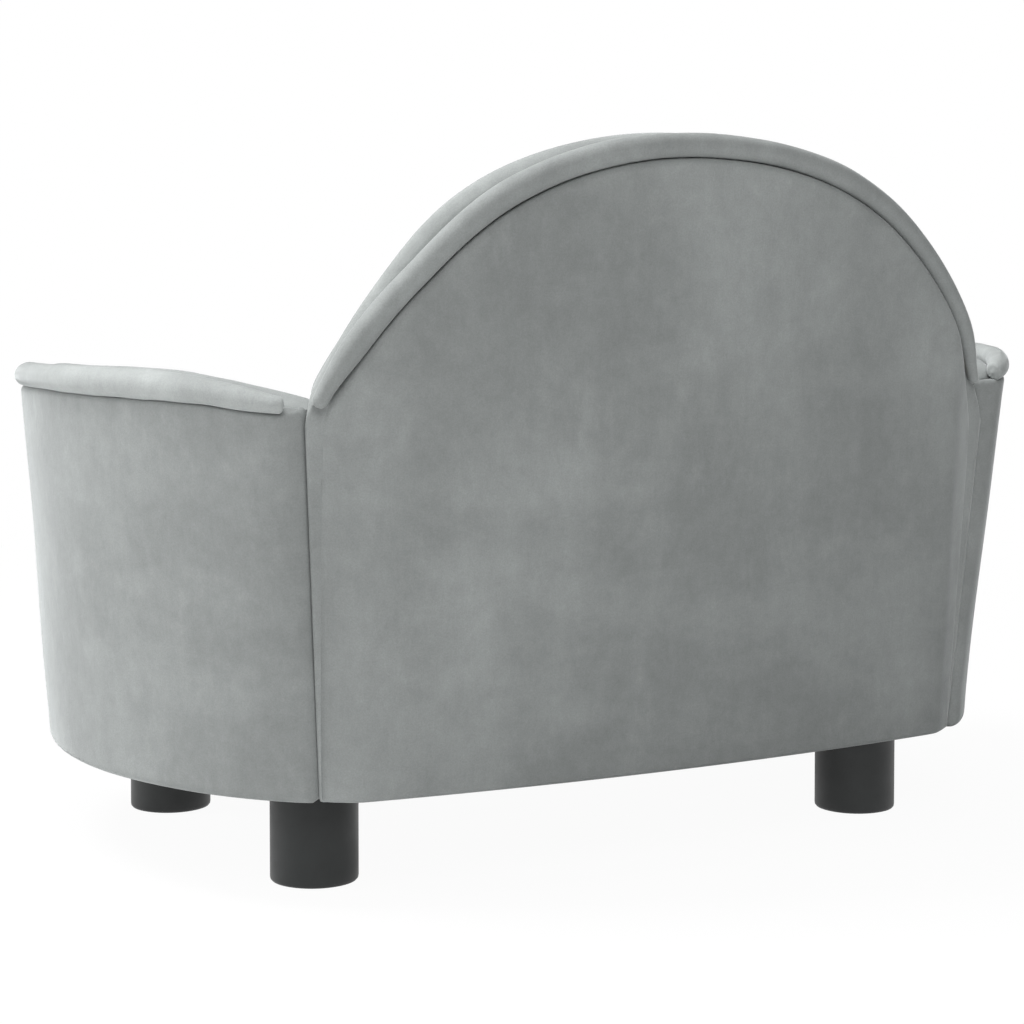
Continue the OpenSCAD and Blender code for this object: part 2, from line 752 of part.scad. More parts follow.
function joined(lists) = [for (l = lists, p = l) p];
function reversed(list) = [for (i = [len(list) - 1:-1:0]) list[i]];
function flipped(faces) = [for (f = faces) [f[0], f[2], f[1]]];

// A closed solid of rings between two tips
module ring_solid(sides, rings, low_tip, high_tip) let (n = len(rings), last = n * sides)
    polyhedron(
        points = concat(joined(rings), [low_tip, high_tip]),
        faces = concat(
            between(sides, n, 0),
            flipped(fan(sides, 0, last)),
            fan(sides, (n - 1) * sides, last + 1)
        )
    );

// The side of the cushion: drawn in at both seams and full between them
function boxing_margin(t) = cushion_draw * pow(abs(2 * t - 1), boxing_power);

function boxing_side(skin, low, high) = [for (i = [0:boxing_rings]) let (t = i / boxing_rings)
    cushion_ring(boxing_margin(t) + skin, 1, low + (high - low) * t)];

function tip(z) = [0, cushion_cy, z];

cushion_low = cushion_z + velvet;
cushion_high = cushion_z + cushion_h - velvet;

module zip_groove() translate([
    -zip_l / 2 - soft_gap,
    zip_face - zip_tape_t - soft_gap,
    zip_z - zip_tape_w - soft_gap
]) cube([zip_l + 2 * soft_gap, overrun, 2 * (zip_tape_w + soft_gap)]);

module cushion_foam() color(foam_cream) place() difference() {
    ring_solid(
        cushion_sides,
        concat(
            boxing_side(velvet, cushion_low, cushion_high),
            crown_face(cushion_draw + velvet, cushion_high + soft_gap, cushion_crown)
        ),
        tip(cushion_low),
        tip(cushion_high + soft_gap + cushion_crown)
    );
    zip_groove();
}

// A thin panel: outer rings from the edge to the middle, and the same rings a skin's thickness inside
module panel(z, skin, rise) let (n = crown_rings, m = n * cushion_sides, up = skin > 0)
    polyhedron(
        points = concat(
            joined(crown_face(cushion_draw, z, rise)), [tip(z + rise)],
            joined(crown_face(cushion_draw, z + skin, rise)), [tip(z + skin + rise)]
        ),
        faces = let (
            low = concat(between(cushion_sides, n, 0), fan(cushion_sides, m - cushion_sides, m)),
            high = concat(
                between(cushion_sides, n, m + 1),
                fan(cushion_sides, 2 * m + 1 - cushion_sides, 2 * m + 1)
            ),
            rim = [for (i = [0:cushion_sides - 1], half = [0, 1]) let (
                a = i,
                b = (i + 1) % cushion_sides,
                c = a + m + 1,
                d = b + m + 1
            ) half == 0 ? [a, b, c] : [b, d, c]]
        ) concat(flipped(low), high, flipped(rim))
    );

module cushion_top_panel() color(velvet_grey) place()
    panel(cushion_high + 2 * soft_gap, velvet, cushion_crown);

module cushion_bottom_panel() color(velvet_dark) place() panel(cushion_z, velvet - soft_gap, 0);

module cushion_boxing() color(velvet_grey) place() difference() {
    let (
        n = boxing_rings + 1,
        m = n * cushion_sides,
        low = cushion_low,
        high = cushion_high + soft_gap
    ) polyhedron(
        points = concat(joined(boxing_side(0, low, high)), joined(boxing_side(velvet - soft_gap, low, high))),
        faces = concat(
            between(cushion_sides, n, 0),
            flipped(between(cushion_sides, n, m)),
            [for (i = [0:cushion_sides - 1], half = [0, 1], end = [0, 1]) let (
                shift = end * (m - cushion_sides),
                a = i + shift,
                b = (i + 1) % cushion_sides + shift,
                f = half == 0 ? [a, b, a + m] : [b, b + m, a + m]
            ) end == 0 ? f : [f[0], f[2], f[1]]]
        )
    );
    translate([-zip_slot_l / 2, zip_face - zip_room, zip_z - zip_slot_h / 2])
        cube([zip_slot_l, 2 * zip_room, zip_slot_h]);
}

// Zip
module zip_tapes() color(black_cloth) place() for (way = [-1, 1])
    translate([-zip_l / 2, zip_face - zip_tape_t, zip_z + (way < 0 ? -zip_tape_w : 0)])
        cube([zip_l, zip_tape_t, zip_tape_w]);

module zip_coil() color(black_cloth) place() translate([-zip_slot_l / 2 + soft_gap, 0, zip_z]) {
    translate([0, coil_y, 0]) rotate([0, 90, 0]) cylinder(r = zip_coil_r, h = zip_slot_l - 2 * soft_gap);
    translate([0, zip_face, -zip_web / 2]) cube([zip_slot_l - 2 * soft_gap, coil_y - zip_face, zip_web]);
}

module zip_slider() color(zinc) place() translate([slider_x, 0, zip_z]) {
    difference() {
        translate([-slider_l / 2, slider_y, -slider_w / 2]) cube([slider_l, slider_t, slider_w]);
        translate([-slider_l, coil_y, 0]) rotate([0, 90, 0])
            cylinder(r = zip_coil_r + slider_gap, h = 2 * slider_l);
        translate([-slider_l, slider_y - overrun, -zip_web / 2 - slider_gap])
            cube([2 * slider_l, overrun + coil_y - slider_y, zip_web + 2 * slider_gap]);
    }
    slider_bridge();
}

// The low loop on the slider that holds the puller's eye
module slider_bridge() translate([0, slider_y + slider_t, 0]) {
    for (way = [-1, 1]) translate([way * slider_l / 4 - bridge_t / 2, -bridge_t / 2, -bridge_t])
        cube([bridge_t, bridge_h + bridge_t, 2 * bridge_t]);
    translate([-slider_l / 4 - bridge_t / 2, bridge_h, -bridge_t])
        cube([slider_l / 2 + bridge_t, bridge_t, 2 * bridge_t]);
}

module zip_puller() color(zinc) place()
    translate([slider_x, slider_y + slider_t + (bridge_h - puller_t) / 2, zip_z]) difference() {
        translate([-bridge_t, 0, -puller_w / 2]) cube([puller_l, puller_t, puller_w]);
        translate([slider_l / 4 - bridge_t, -overrun, -bridge_t - soft_gap])
            cube([3 * bridge_t, 2 * overrun, 2 * (bridge_t + soft_gap)]);
    }

seat_deck();
front_rail_board();
back_board();
arm_board_left();
arm_board_right();
foot_block_front_left();
foot_block_front_right();
foot_block_rear_left();
foot_block_rear_right();
arm_post_left();
arm_post_right();
back_post_left();
back_post_right();
arm_bolts();
threaded_inserts();
foot_bolts();
t_nuts();
deck_screws();
dust_cloth_tacks();
dust_cloth();
back_wadding();
back_foam();
arm_wadding_left();
arm_wadding_right();
arm_foam_left();
arm_foam_right();
front_wadding();
back_cover_rear();
back_cover_front();
arm_cover_outer_left();
arm_cover_outer_right();
arm_cover_inner_left();
arm_cover_inner_right();
front_border_cover();
back_roll();
arm_roll_left();
arm_roll_right();
foot_front_left();
foot_front_right();
foot_rear_left();
foot_rear_right();
cushion_foam();
cushion_top_panel();
cushion_boxing();
cushion_bottom_panel();
zip_tapes();
zip_coil();
zip_slider();
zip_puller();
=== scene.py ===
import math

import bpy
import numpy as np
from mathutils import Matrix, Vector
from mathutils.bvhtree import BVHTree


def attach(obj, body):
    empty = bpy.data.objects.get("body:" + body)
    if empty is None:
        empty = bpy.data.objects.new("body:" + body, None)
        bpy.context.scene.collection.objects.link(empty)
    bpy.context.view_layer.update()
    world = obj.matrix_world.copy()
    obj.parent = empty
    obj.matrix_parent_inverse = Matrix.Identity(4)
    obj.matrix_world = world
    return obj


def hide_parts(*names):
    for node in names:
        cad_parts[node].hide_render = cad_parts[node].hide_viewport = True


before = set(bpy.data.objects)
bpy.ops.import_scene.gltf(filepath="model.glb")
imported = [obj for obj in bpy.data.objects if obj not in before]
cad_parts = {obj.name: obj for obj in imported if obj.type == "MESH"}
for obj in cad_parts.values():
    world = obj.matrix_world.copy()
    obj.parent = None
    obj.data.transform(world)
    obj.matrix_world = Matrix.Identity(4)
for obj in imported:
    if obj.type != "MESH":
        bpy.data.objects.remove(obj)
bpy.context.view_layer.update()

# Sizes in millimetres. Shapes are worked out about the arms' shared centre line, AXIS_Y from the origin.
MM = 0.001
AXIS_Y = -12.6055
SIDES = {1: "left", -1: "right"}  # left is +X
BASE_Z = 44.5  # underside of the upholstery, and top of the feet
JOINT_GAP = 0.15  # from the cover of an arm or the back to the plane where they join
# Arms: each is an arc in plan about ARM_X, flared, from ARM_END degrees in front to as many behind
ARM_X = 35.31
ARM_R = 186.81
FLARE = math.tan(math.radians(4.8))
ARM_TOP = 209.8
ARM_END = 45.0
PAD_LOW = 66.7  # lower edge of the inner pads, a hair over the seat deck
# Back: a leaning frame whose rear face stands BACK_Y behind the centre line and is bowed, with bevelled corners
LEAN = math.radians(4.6)
BACK_Y = 149.294
BOW_R = 1200.0
CORNER_X = 150.0
CORNER_SAG = BOW_R - math.sqrt(BOW_R**2 - CORNER_X**2)
CORNER_SLOPE = math.tan(math.radians(35))
ARCH_Z = 76.62  # the arch's centre, up the leaning frame
ROLL_ARC = 193.94
ROLL_DEPTH = 3.9
BACK_FRONT = 38.61
BACK_CROWN = 8.0
# Front border: outside face, height, and depth to its rear face
FRONT_Y = -147.394
RAIL_H = 88.0
RAIL_IN = 26.81
# Seat cushion: straight at front and rear, arcs of CUSHION_R at its sides
CUSHION_X = ARM_X
CUSHION_Z = 66.9
CUSHION_H = 52.0
CUSHION_FRONT = -120.2
CUSHION_REAR = 96.9
CUSHION_R = 153.6
CUSHION_Y = (CUSHION_FRONT + CUSHION_REAR) / 2
CUSHION_HALF = (CUSHION_REAR - CUSHION_FRONT) / 2
SEAM_ROUND = 4.5
# Zip in the cushion's rear: its middle line, half length and half height of its opening, and the tapes' face
ZIP_Z = 92.9
ZIP_HALF = 109.0
ZIP_WINDOW = 4.2
ZIP_FACE = 95.3
# Feet
FOOT_R = 19.2
FOOT_X = 144.5
FOOT_Y = 82.2


# ---------------------------------------------------------------- small helpers
def smooth_step(t):
    """A smooth rise from 0 to 1 while t goes from 0 to 1."""
    t = np.clip(t, 0, 1)
    return t * t * (3 - 2 * t)


def wobble(points, seed, size, amount):
    """A soft, repeatable unevenness: a sum of a few waves over the points, in millimetres."""
    rng = np.random.default_rng(seed)
    out = np.zeros(len(points))
    for k in range(9):
        way = rng.normal(size=3)
        way /= np.linalg.norm(way)
        length = size * rng.uniform(0.6, 1.9)
        out += np.sin(points @ way * 2 * math.pi / length + rng.uniform(0, 2 * math.pi))
    return out * amount / 3


def curve(knots, values, blur=2.0):
    """A smooth line through a few values: straight between its knots, then blurred over some degrees."""
    fine = np.arange(knots[0] - 30, knots[-1] + 30, 0.5)
    kernel = np.exp(-0.5 * (np.arange(-4 * blur, 4 * blur + 0.25, 0.5) / blur) ** 2)
    line = np.pad(np.interp(fine, knots, values), len(kernel) // 2, mode="edge")
    line = np.convolve(line, kernel / kernel.sum(), mode="valid")[: len(fine)]
    return lambda at: np.interp(at, fine, line)


def grid_faces(rows, cols, wrap=False, flip=False):
    """Four-sided faces between rows of points. With wrap, each row is a closed ring."""
    faces = []
    for i in range(rows - 1):
        for j in range(cols if wrap else cols - 1):
            a = i * cols + j
            b = i * cols + (j + 1) % cols
            quad = (a, b, b + cols, a + cols)
            faces.append(quad[::-1] if flip else quad)
    return faces


def placed(name, data):
    """A new object in the scene."""
    piece = bpy.data.objects.new(name, data)
    bpy.context.scene.collection.objects.link(piece)
    return piece


def add_mesh(name, points, faces, material, subdivide=0):
    """A smooth-shaded piece from points in millimetres about the centre line."""
    mesh = bpy.data.meshes.new(name)
    moved = (np.asarray(points, float) + [0, AXIS_Y, 0]) * MM
    mesh.from_pydata(moved.tolist(), [], [tuple(f) for f in faces])
    mesh.validate()
    mesh.update()
    mesh.materials.append(material)
    mesh.shade_smooth()
    piece = placed(name, mesh)
    if subdivide:
        smooth = piece.modifiers.new("smooth", "SUBSURF")
        smooth.levels = smooth.render_levels = subdivide
    return piece


def ring_mesh(rings, tip=None, flip=False):
    """Rings of equally many points, and a closing tip on the last one."""
    count = len(rings[0])
    points = np.concatenate(rings)
    faces = grid_faces(len(rings), count, wrap=True, flip=flip)
    if tip is not None:
        points = np.vstack([points, tip])
        first = (len(rings) - 1) * count
        for j in range(count):
            tri = (first + j, first + (j + 1) % count, len(points) - 1)
            faces.append(tri[::-1] if flip else tri)
    return points, faces


def closed_rings(rings, tip=None, base=None, flip=False):
    """Rings closed at both ends, by a point in the middle of the end ring or one that is given."""
    rings = np.asarray(rings)
    points, faces = ring_mesh(rings, rings[-1].mean(axis=0) if tip is None else tip, flip)
    points = np.vstack([points, rings[0].mean(axis=0) if base is None else base])
    count = rings.shape[1]
    for j in range(count):
        tri = ((j + 1) % count, j, len(points) - 1)
        faces.append(tri[::-1] if flip else tri)
    return points, faces


def tube(centres, ups, radius, sides=28):
    """Rings of a round tube along a line of centres, with one radius or a radius for each centre."""
    along = np.gradient(centres, axis=0)
    along /= np.linalg.norm(along, axis=1)[:, None]
    ups = ups - (ups * along).sum(1)[:, None] * along
    ups /= np.linalg.norm(ups, axis=1)[:, None]
    across = np.cross(along, ups)
    turn = np.linspace(0, 2 * math.pi, sides, endpoint=False)[:, None]
    sizes = np.broadcast_to(radius, len(centres))
    return [centre + size * (np.cos(turn) * up + np.sin(turn) * side)
            for centre, size, up, side in zip(centres, sizes, ups, across)]


def blunt_end(edge, steps=5):
    """A blunt rounded end of a roll of radius 1: offsets from its tip inwards, and the radius at each."""
    out = [(0.0, 0.02), (0.15, (1 - edge) * 0.5), (0.3, 1 - edge)]
    for k in range(1, steps + 1):
        a = math.radians(90 * k / steps)
        out.append((0.3 + edge * (1 - math.cos(a)), 1 - edge + edge * math.sin(a)))
    return out


def end_turn(rounding, steps=8):
    """A quarter turn round an edge: how far each step lies inside the first face and inside the second."""
    turn = np.radians(np.linspace(0, 90, steps + 1))
    return list(zip(rounding * (1 - np.sin(turn)), rounding * (1 - np.cos(turn))))


def relaxed(loop, times):
    """A closed line of points, evened out over its neighbours a number of times."""
    for _ in range(times):
        loop = 0.25 * np.roll(loop, 1, 0) + 0.5 * loop + 0.25 * np.roll(loop, -1, 0)
    return loop


# ---------------------------------------------------------------- materials
def node_of(tree, kind):
    """The first node of a kind in a tree."""
    return next(n for n in tree.nodes if n.type == kind)


def new_material(name):
    """A new material, and in it the output that gives the object's own coordinates."""
    material = bpy.data.materials.new(name)
    material.use_nodes = True
    return material, material.node_tree.nodes.new("ShaderNodeTexCoord").outputs["Object"]


def fill(tree, node, inputs):
    """Gives a node's inputs, by name or number, a value each or another node's output."""
    for key, value in inputs.items():
        socket = node.inputs[key]
        if isinstance(value, bpy.types.NodeSocket):
            tree.links.new(value, socket)
        else:
            socket.default_value = (*value, 1) if socket.type == "RGBA" else value


def made(tree, kind, inputs, output=0, operation=None):
    """Adds a node with its inputs, and gives one of its outputs."""
    node = tree.nodes.new(kind)
    if operation:
        node.operation = operation
    fill(tree, node, inputs)
    return node.outputs[output]


def noise(vector, scale, detail, rough, stretch=None):
    """A noise over coordinates, which can be drawn out along an axis by a small stretch factor."""
    tree = vector.id_data
    if stretch:
        vector = made(tree, "ShaderNodeMapping", {"Vector": vector, "Scale": stretch})
    inputs = {"Vector": vector, "Scale": scale, "Detail": detail, "Roughness": rough}
    return made(tree, "ShaderNodeTexNoise", inputs, "Fac")


def ramp(value, low, high, a, b):
    """A value that goes from a to b while another goes from low to high."""
    inputs = {"Value": value, "From Min": low, "From Max": high, "To Min": a, "To Max": b}
    return made(value.id_data, "ShaderNodeMapRange", inputs, "Result")


def maths(operation, a, b):
    """What an operation makes of two values."""
    return made(a.id_data, "ShaderNodeMath", {0: a, 1: b}, operation=operation)


def mixed(factor, a, b):
    """A colour between two colours."""
    tree = factor.id_data
    node = tree.nodes.new("ShaderNodeMix")
    node.data_type = "RGBA"
    fill(tree, node, {0: factor, 6: a, 7: b})
    return node.outputs[2]


def finish(material, colour, rough, height, strength, distance, others=()):
    """Gives the material's shader its colour and roughness, a bump, and its other inputs."""
    tree = material.node_tree
    bump = made(tree, "ShaderNodeBump", {"Strength": strength, "Distance": distance * MM, "Height": height})
    inputs = {"Base Color": colour, "Roughness": rough, "Normal": bump, **dict(others)}
    fill(tree, node_of(tree, "BSDF_PRINCIPLED"), inputs)
    return material


def velvet_material(name, shade, seed):
    """Short-pile velvet: soft patches and brushed smears where the nap lies over, over a fine pile."""
    material, at = new_material(name)
    shift = (seed * 0.37, seed * 0.71, seed * 0.13)
    at = made(material.node_tree, "ShaderNodeMapping", {"Vector": at, "Location": shift})
    patches = noise(at, 9, 3, 0.55)
    brushed = noise(at, 17, 4, 0.62, (1.0, 1.0, 0.38))
    across = noise(at, 26, 4, 0.62, (0.42, 0.42, 1.0))
    grain = noise(at, 150, 3, 0.6)
    pile = noise(at, 1500, 3, 0.7)
    threads = noise(at, 700, 1, 0.4, (1.0, 1.0, 0.2))
    marks = noise(at, 34, 6, 0.72, (1.0, 1.0, 0.5))
    nap = maths("ADD", ramp(brushed, 0.47, 0.66, 0, 0.34), ramp(across, 0.50, 0.70, 0, 0.28))
    nap = maths("ADD", ramp(patches, 0.40, 0.64, 0, 0.40), nap)
    nap = maths("ADD", nap, ramp(marks, 0.56, 0.68, 0, 0.22))
    colour = mixed(nap, tuple(c * shade * 0.86 for c in VELVET), tuple(c * shade * 1.26 for c in VELVET))
    fine = maths("MULTIPLY", ramp(grain, 0.3, 0.7, 0.955, 1.045), ramp(pile, 0.3, 0.7, 0.91, 1.09))
    fine = maths("MULTIPLY", fine, ramp(threads, 0.3, 0.7, 0.985, 1.015))
    colour = made(material.node_tree, "ShaderNodeVectorMath", {0: colour, "Scale": fine}, operation="SCALE")
    height = maths("ADD", pile, maths("MULTIPLY", grain, 1.5))
    others = {"Specular IOR Level": 0.2, "Sheen Weight": 0.5, "Sheen Roughness": 0.32,
              "Sheen Tint": (0.93, 0.96, 0.97)}
    return finish(material, colour, ramp(nap, 0, 1, 0.90, 0.72), height, 0.3, 0.4, others)


def cloth_material(name, colour, scale, rough):
    """A plain non-woven or woven black cloth or tape."""
    material, at = new_material(name)
    fibres = noise(at, scale, 3, 0.65)
    both = maths("ADD", fibres, noise(at, scale / 12, 3, 0.5))
    tone = mixed(ramp(both, 0.7, 1.3, 0, 1), tuple(c * 0.7 for c in colour), tuple(c * 1.35 for c in colour))
    dull = ramp(fibres, 0.3, 0.7, rough - 0.08, rough + 0.05)
    return finish(material, tone, dull, fibres, 0.35, 0.4, {"Specular IOR Level": 0.25})


def plastic_material(name, colour, rough):
    """Moulded plastic with a faint texture, rubbed a little smoother in places."""
    material, at = new_material(name)
    rubs = noise(at, 40, 4, 0.6)
    tone = mixed(ramp(rubs, 0.35, 0.7, 0, 1), colour, tuple(c * 1.45 + 0.002 for c in colour))
    worn = ramp(rubs, 0.3, 0.7, rough + 0.07, rough - 0.06)
    return finish(material, tone, worn, noise(at, 900, 2, 0.6), 0.12, 0.2)


def wood_material(name, light, dark):
    """Raw plywood or pine: long grain with darker growth lines."""
    material, at = new_material(name)
    grain = noise(at, 160, 5, 0.62, (0.12, 1.0, 1.0))
    fibre = noise(at, 1100, 2, 0.5, (0.06, 1.0, 1.0))
    both = maths("ADD", maths("MULTIPLY", grain, 0.75), maths("MULTIPLY", fibre, 0.25))
    tone = mixed(ramp(both, 0.36, 0.66, 0, 1), dark, light)
    return finish(material, tone, ramp(fibre, 0.3, 0.7, 0.62, 0.78), both, 0.22, 0.5)


def foam_material(name, colour, scale):
    """Open-cell foam or fluffy wadding."""
    material, at = new_material(name)
    cells = made(material.node_tree, "ShaderNodeTexVoronoi", {"Vector": at, "Scale": scale}, "Distance")
    tone = noise(at, scale / 20, 3, 0.5)
    colour = mixed(ramp(tone, 0.35, 0.65, 0, 1), tuple(c * 0.88 for c in colour), colour)
    return finish(material, colour, ramp(tone, 0.3, 0.7, 0.9, 0.97), cells, 0.4, 0.6)


def metal_material(name, colour, rough):
    """Zinc-plated steel with fine scratches and dull patches."""
    material, at = new_material(name)
    scratch = noise(at, 900, 3, 0.6, (0.2, 1.0, 1.0))
    dull = noise(at, 120, 3, 0.6)
    colour = mixed(ramp(dull, 0.35, 0.7, 0, 1), colour, tuple(c * 0.78 for c in colour))
    uneven = ramp(maths("ADD", scratch, dull), 0.7, 1.3, rough - 0.08, rough + 0.14)
    return finish(material, colour, uneven, scratch, 0.08, 0.1, {"Metallic": 1.0})


VELVET = (0.262, 0.276, 0.272)
velvet_back = velvet_material("velvet_back", 1.0, 1)
velvet_arm = velvet_material("velvet_arm", 1.0, 2)
# A copy of the velvet made 1.15 times lighter for the pads, whose rims face the lamps: painted light.
velvet_inner_painted_light = velvet_material("velvet_inner_painted_light", 1.15, 3)
velvet_seat = velvet_material("velvet_seat", 1.0, 4)
# A copy of the velvet made 1.22 times lighter for the arms' rolls, whose tops catch the lamps: painted highlight.
velvet_roll_painted_light = velvet_material("velvet_roll_painted_light", 1.22, 5)
# A copy of the velvet made 1.08 times lighter for the back's roll: painted highlight.
velvet_arch_painted_light = velvet_material("velvet_arch_painted_light", 1.08, 6)
black_felt = cloth_material("black_felt", (0.012, 0.012, 0.013), 1300, 0.88)
black_tape = cloth_material("black_tape", (0.016, 0.016, 0.018), 2200, 0.8)
foot_plastic = plastic_material("foot_plastic", (0.006, 0.0078, 0.0078), 0.46)
zip_plastic = plastic_material("zip_plastic", (0.014, 0.014, 0.016), 0.35)
raw_wood = wood_material("raw_wood", (0.66, 0.49, 0.30), (0.44, 0.28, 0.14))
cream_foam = foam_material("cream_foam", (0.84, 0.78, 0.58), 700)
white_wadding = foam_material("white_wadding", (0.86, 0.86, 0.84), 260)
zinc = metal_material("zinc", (0.62, 0.63, 0.65), 0.32)


# ---------------------------------------------------------------- the back
def bow_drop(x):
    """How far the bowed rear face falls back from its middle at x."""
    return BOW_R - np.sqrt(BOW_R**2 - np.asarray(x) ** 2)


# Lines round the arch, by the angle from the left (+X) in degrees. A hand-built arch isn't quite round: these are
# the roll's distance from the arch's centre, its radius, and the edge of the padded band in front of it
roll_centre = curve([20, 27, 35, 48, 55, 61, 69, 77, 86, 95, 106, 112, 120, 124, 130, 135, 140, 145, 149, 153, 160],
                    [192.6, 193.0, 193.4, 193.8, 196.4, 198.3, 198.4, 197.8, 196.6, 196.0, 196.9, 197.5, 197.4, 196.7,
                     195.5, 194.3, 193.2, 191.4, 188.8, 186.8, 186.0])
roll_size = curve([20, 48, 55, 61, 70, 80, 90, 112, 120, 130, 140, 160],
                  [5.2, 5.3, 5.6, 5.9, 5.6, 5.3, 5.1, 5.2, 5.0, 4.8, 4.5, 4.2])
band_edge = curve([20, *range(28, 88, 4), 90, 100, 112, 120, 128, 136, 144, 152],
                  [193.4, 193.6, 194.4, 196.0, 197.4, 198.8, 201.0, 203.6, 205.2, 205.8, 205.7, 205.0, 204.1, 203.2,
                   202.4, 201.6, 200.4, 199.9, 200.7, 200.8, 199.4, 197.2, 194.2, 190.0])


def skin_edge(angle):
    """Where the rear cover ends, inside the roll."""
    return roll_centre(angle) - roll_size(angle) - 0.3


def rear_depth(x):
    """Depth of the rear cover behind the leaning frame's rear plane: bowed, with softly bevelled corners."""
    bow, bevel, soft = bow_drop(x), CORNER_SAG + (np.abs(x) - CORNER_X) * CORNER_SLOPE, 0.8
    return (bow + bevel) / 2 + np.sqrt(((bow - bevel) / 2) ** 2 + soft**2)


def lean(x, depth, up):
    """Points from their place on the leaning frame."""
    x, depth, up = np.broadcast_arrays(x, depth, up)
    return np.stack([
        x,
        BACK_Y - depth * math.cos(LEAN) + up * math.sin(LEAN),
        BASE_Z + depth * math.sin(LEAN) + up * math.cos(LEAN),
    ], -1)


def joint_width(depth_at, up):
    """Half width of the back where it meets the arms' joint planes, at a height of the leaning frame."""
    x = np.full_like(up, CORNER_X)
    for _ in range(60):
        y = BACK_Y - depth_at(x) * math.cos(LEAN) + up * math.sin(LEAN)
        x = 0.5 * x + 0.5 * (ARM_X + y - JOINT_GAP * math.sqrt(2))
    return x


def clustered(n):
    """Steps from 0 to 1 that are closer together at both ends."""
    t = np.linspace(0, 1, n)
    return 0.35 * t + 0.65 * (1 - np.cos(math.pi * t)) / 2


def back_outline(depth_at, radius_at, even=False):
    """The back's outline at one depth: floor line, joint planes, and the arch, whose radius goes by the angle."""
    n_base, n_side, n_arc = 46, 50, 66
    spread = (lambda n: np.linspace(0, 1, n)) if even else clustered
    probe = np.linspace(-10, 240, 5001)
    side_x = joint_width(depth_at, probe)
    over = np.maximum(probe - ARCH_Z, 0)
    floor_up = lambda x: -depth_at(x) * math.tan(LEAN)
    corner_x = float(joint_width(depth_at, np.array([0.0]))[0])
    halves = []
    for mirror in (False, True):
        reach_at = lambda turn: radius_at(180 - np.degrees(turn) if mirror else np.degrees(turn))
        room = reach_at(np.arctan2(over, side_x)) ** 2 - over**2
        meets = int(np.argmax(np.where(over > 0, side_x**2 > room, False)))
        top_up, top_x = probe[meets], side_x[meets]
        base_x = spread(n_base) * corner_x
        base = np.stack([base_x, floor_up(base_x)], -1)
        foot = base[-1, 1]
        ups = foot + spread(n_side) * (top_up - foot)
        side = np.stack([joint_width(depth_at, ups), ups], -1)
        start = math.atan2(top_up - ARCH_Z, top_x)
        turn = start + (math.pi / 2 - start) * (np.linspace(0, 1, n_arc) ** (1.0 if even else 1.15))
        reach = reach_at(turn)
        arc = np.stack([reach * np.cos(turn), ARCH_Z + reach * np.sin(turn)], -1)
        halves.append(np.concatenate([base[:-1], side[:-1], arc]))
    return relaxed(np.concatenate([halves[0], halves[1][1:-1][::-1] * [-1, 1]]), 2)


def inward(loop, distance):
    """The loop moved towards the inside of the outline by a distance."""
    along = np.roll(loop, -1, 0) - np.roll(loop, 1, 0)
    along /= np.maximum(np.linalg.norm(along, axis=1), 1e-9)[:, None]
    normal = relaxed(np.stack([-along[:, 1], along[:, 0]], -1), 3)
    normal /= np.maximum(np.linalg.norm(normal, axis=1), 1e-9)[:, None]
    return loop + normal * distance


MIDDLE = np.array([0.0, 112.0])  # where the back's rings close, on the leaning frame


def toward_middle(loop, even, share):
    """The outline scaled towards the middle; on the way its crowded corner points spread out evenly."""
    part = loop + (relaxed(loop, 30) - loop) * smooth_step((1 - share) / 0.07)
    part = part + (even - part) * smooth_step((1 - share) / 0.45)
    return MIDDLE + (part - MIDDLE) * share


def filled_rings(inner, even, shares, y, soft, pull, fade, depth_at):
    """Rings from an outline to its middle, uneven in soft waves and in short pulls that fade from its edge."""
    rings = []
    for share in shares:
        part = toward_middle(inner, even, share)
        point = np.stack([part[:, 0], np.full(len(part), y), part[:, 1]], -1)
        uneven = wobble(point, *soft) * (1 - share**8)
        uneven += wobble(point, *pull) * np.exp(-(((1 - share) * fade) ** 2))
        rings.append(lean(part[:, 0], depth_at(part[:, 0], share) + uneven, part[:, 1]))
    return rings


def build_rear_panel():
    """The rear cover: turned in round its edge, bowed, and a little puffed."""
    edge, puff = 3.0, 0.9
    rings = []
    for deeper, inset in ((13.0, 1.5), (8.0, 0.5), (edge + 1.2, 0.0)):
        loop = inward(back_outline(lambda x, d=deeper: rear_depth(x) + d, skin_edge), inset)
        rings.append(lean(loop[:, 0], rear_depth(loop[:, 0]) + deeper, loop[:, 1]))
    loop = back_outline(lambda x: rear_depth(x) + edge, skin_edge)
    for k, (near, far) in enumerate(end_turn(edge, 6)):
        part = relaxed(inward(loop, far), 2 * k)
        rings.append(lean(part[:, 0], rear_depth(part[:, 0]) + near, part[:, 1]))
    inner = relaxed(inward(loop, edge), 12)
    even = relaxed(inward(back_outline(lambda x: rear_depth(x) + edge, skin_edge, even=True), edge), 60)
    shares = 1 - np.linspace(0, 1, 62)[1:-1] ** 1.15
    depth_at = lambda x, share: rear_depth(x) - puff * (1 - share**6)
    rings += filled_rings(inner, even, shares, 0.0, (7, 130, 0.35), (8, 16, 0.2), 150 / 9, depth_at)
    points, faces = ring_mesh(rings, lean(0.0, depth_at(0.0, 0.0), MIDDLE[1]), flip=True)
    return add_mesh("back_rear_panel", points, faces, velvet_back)


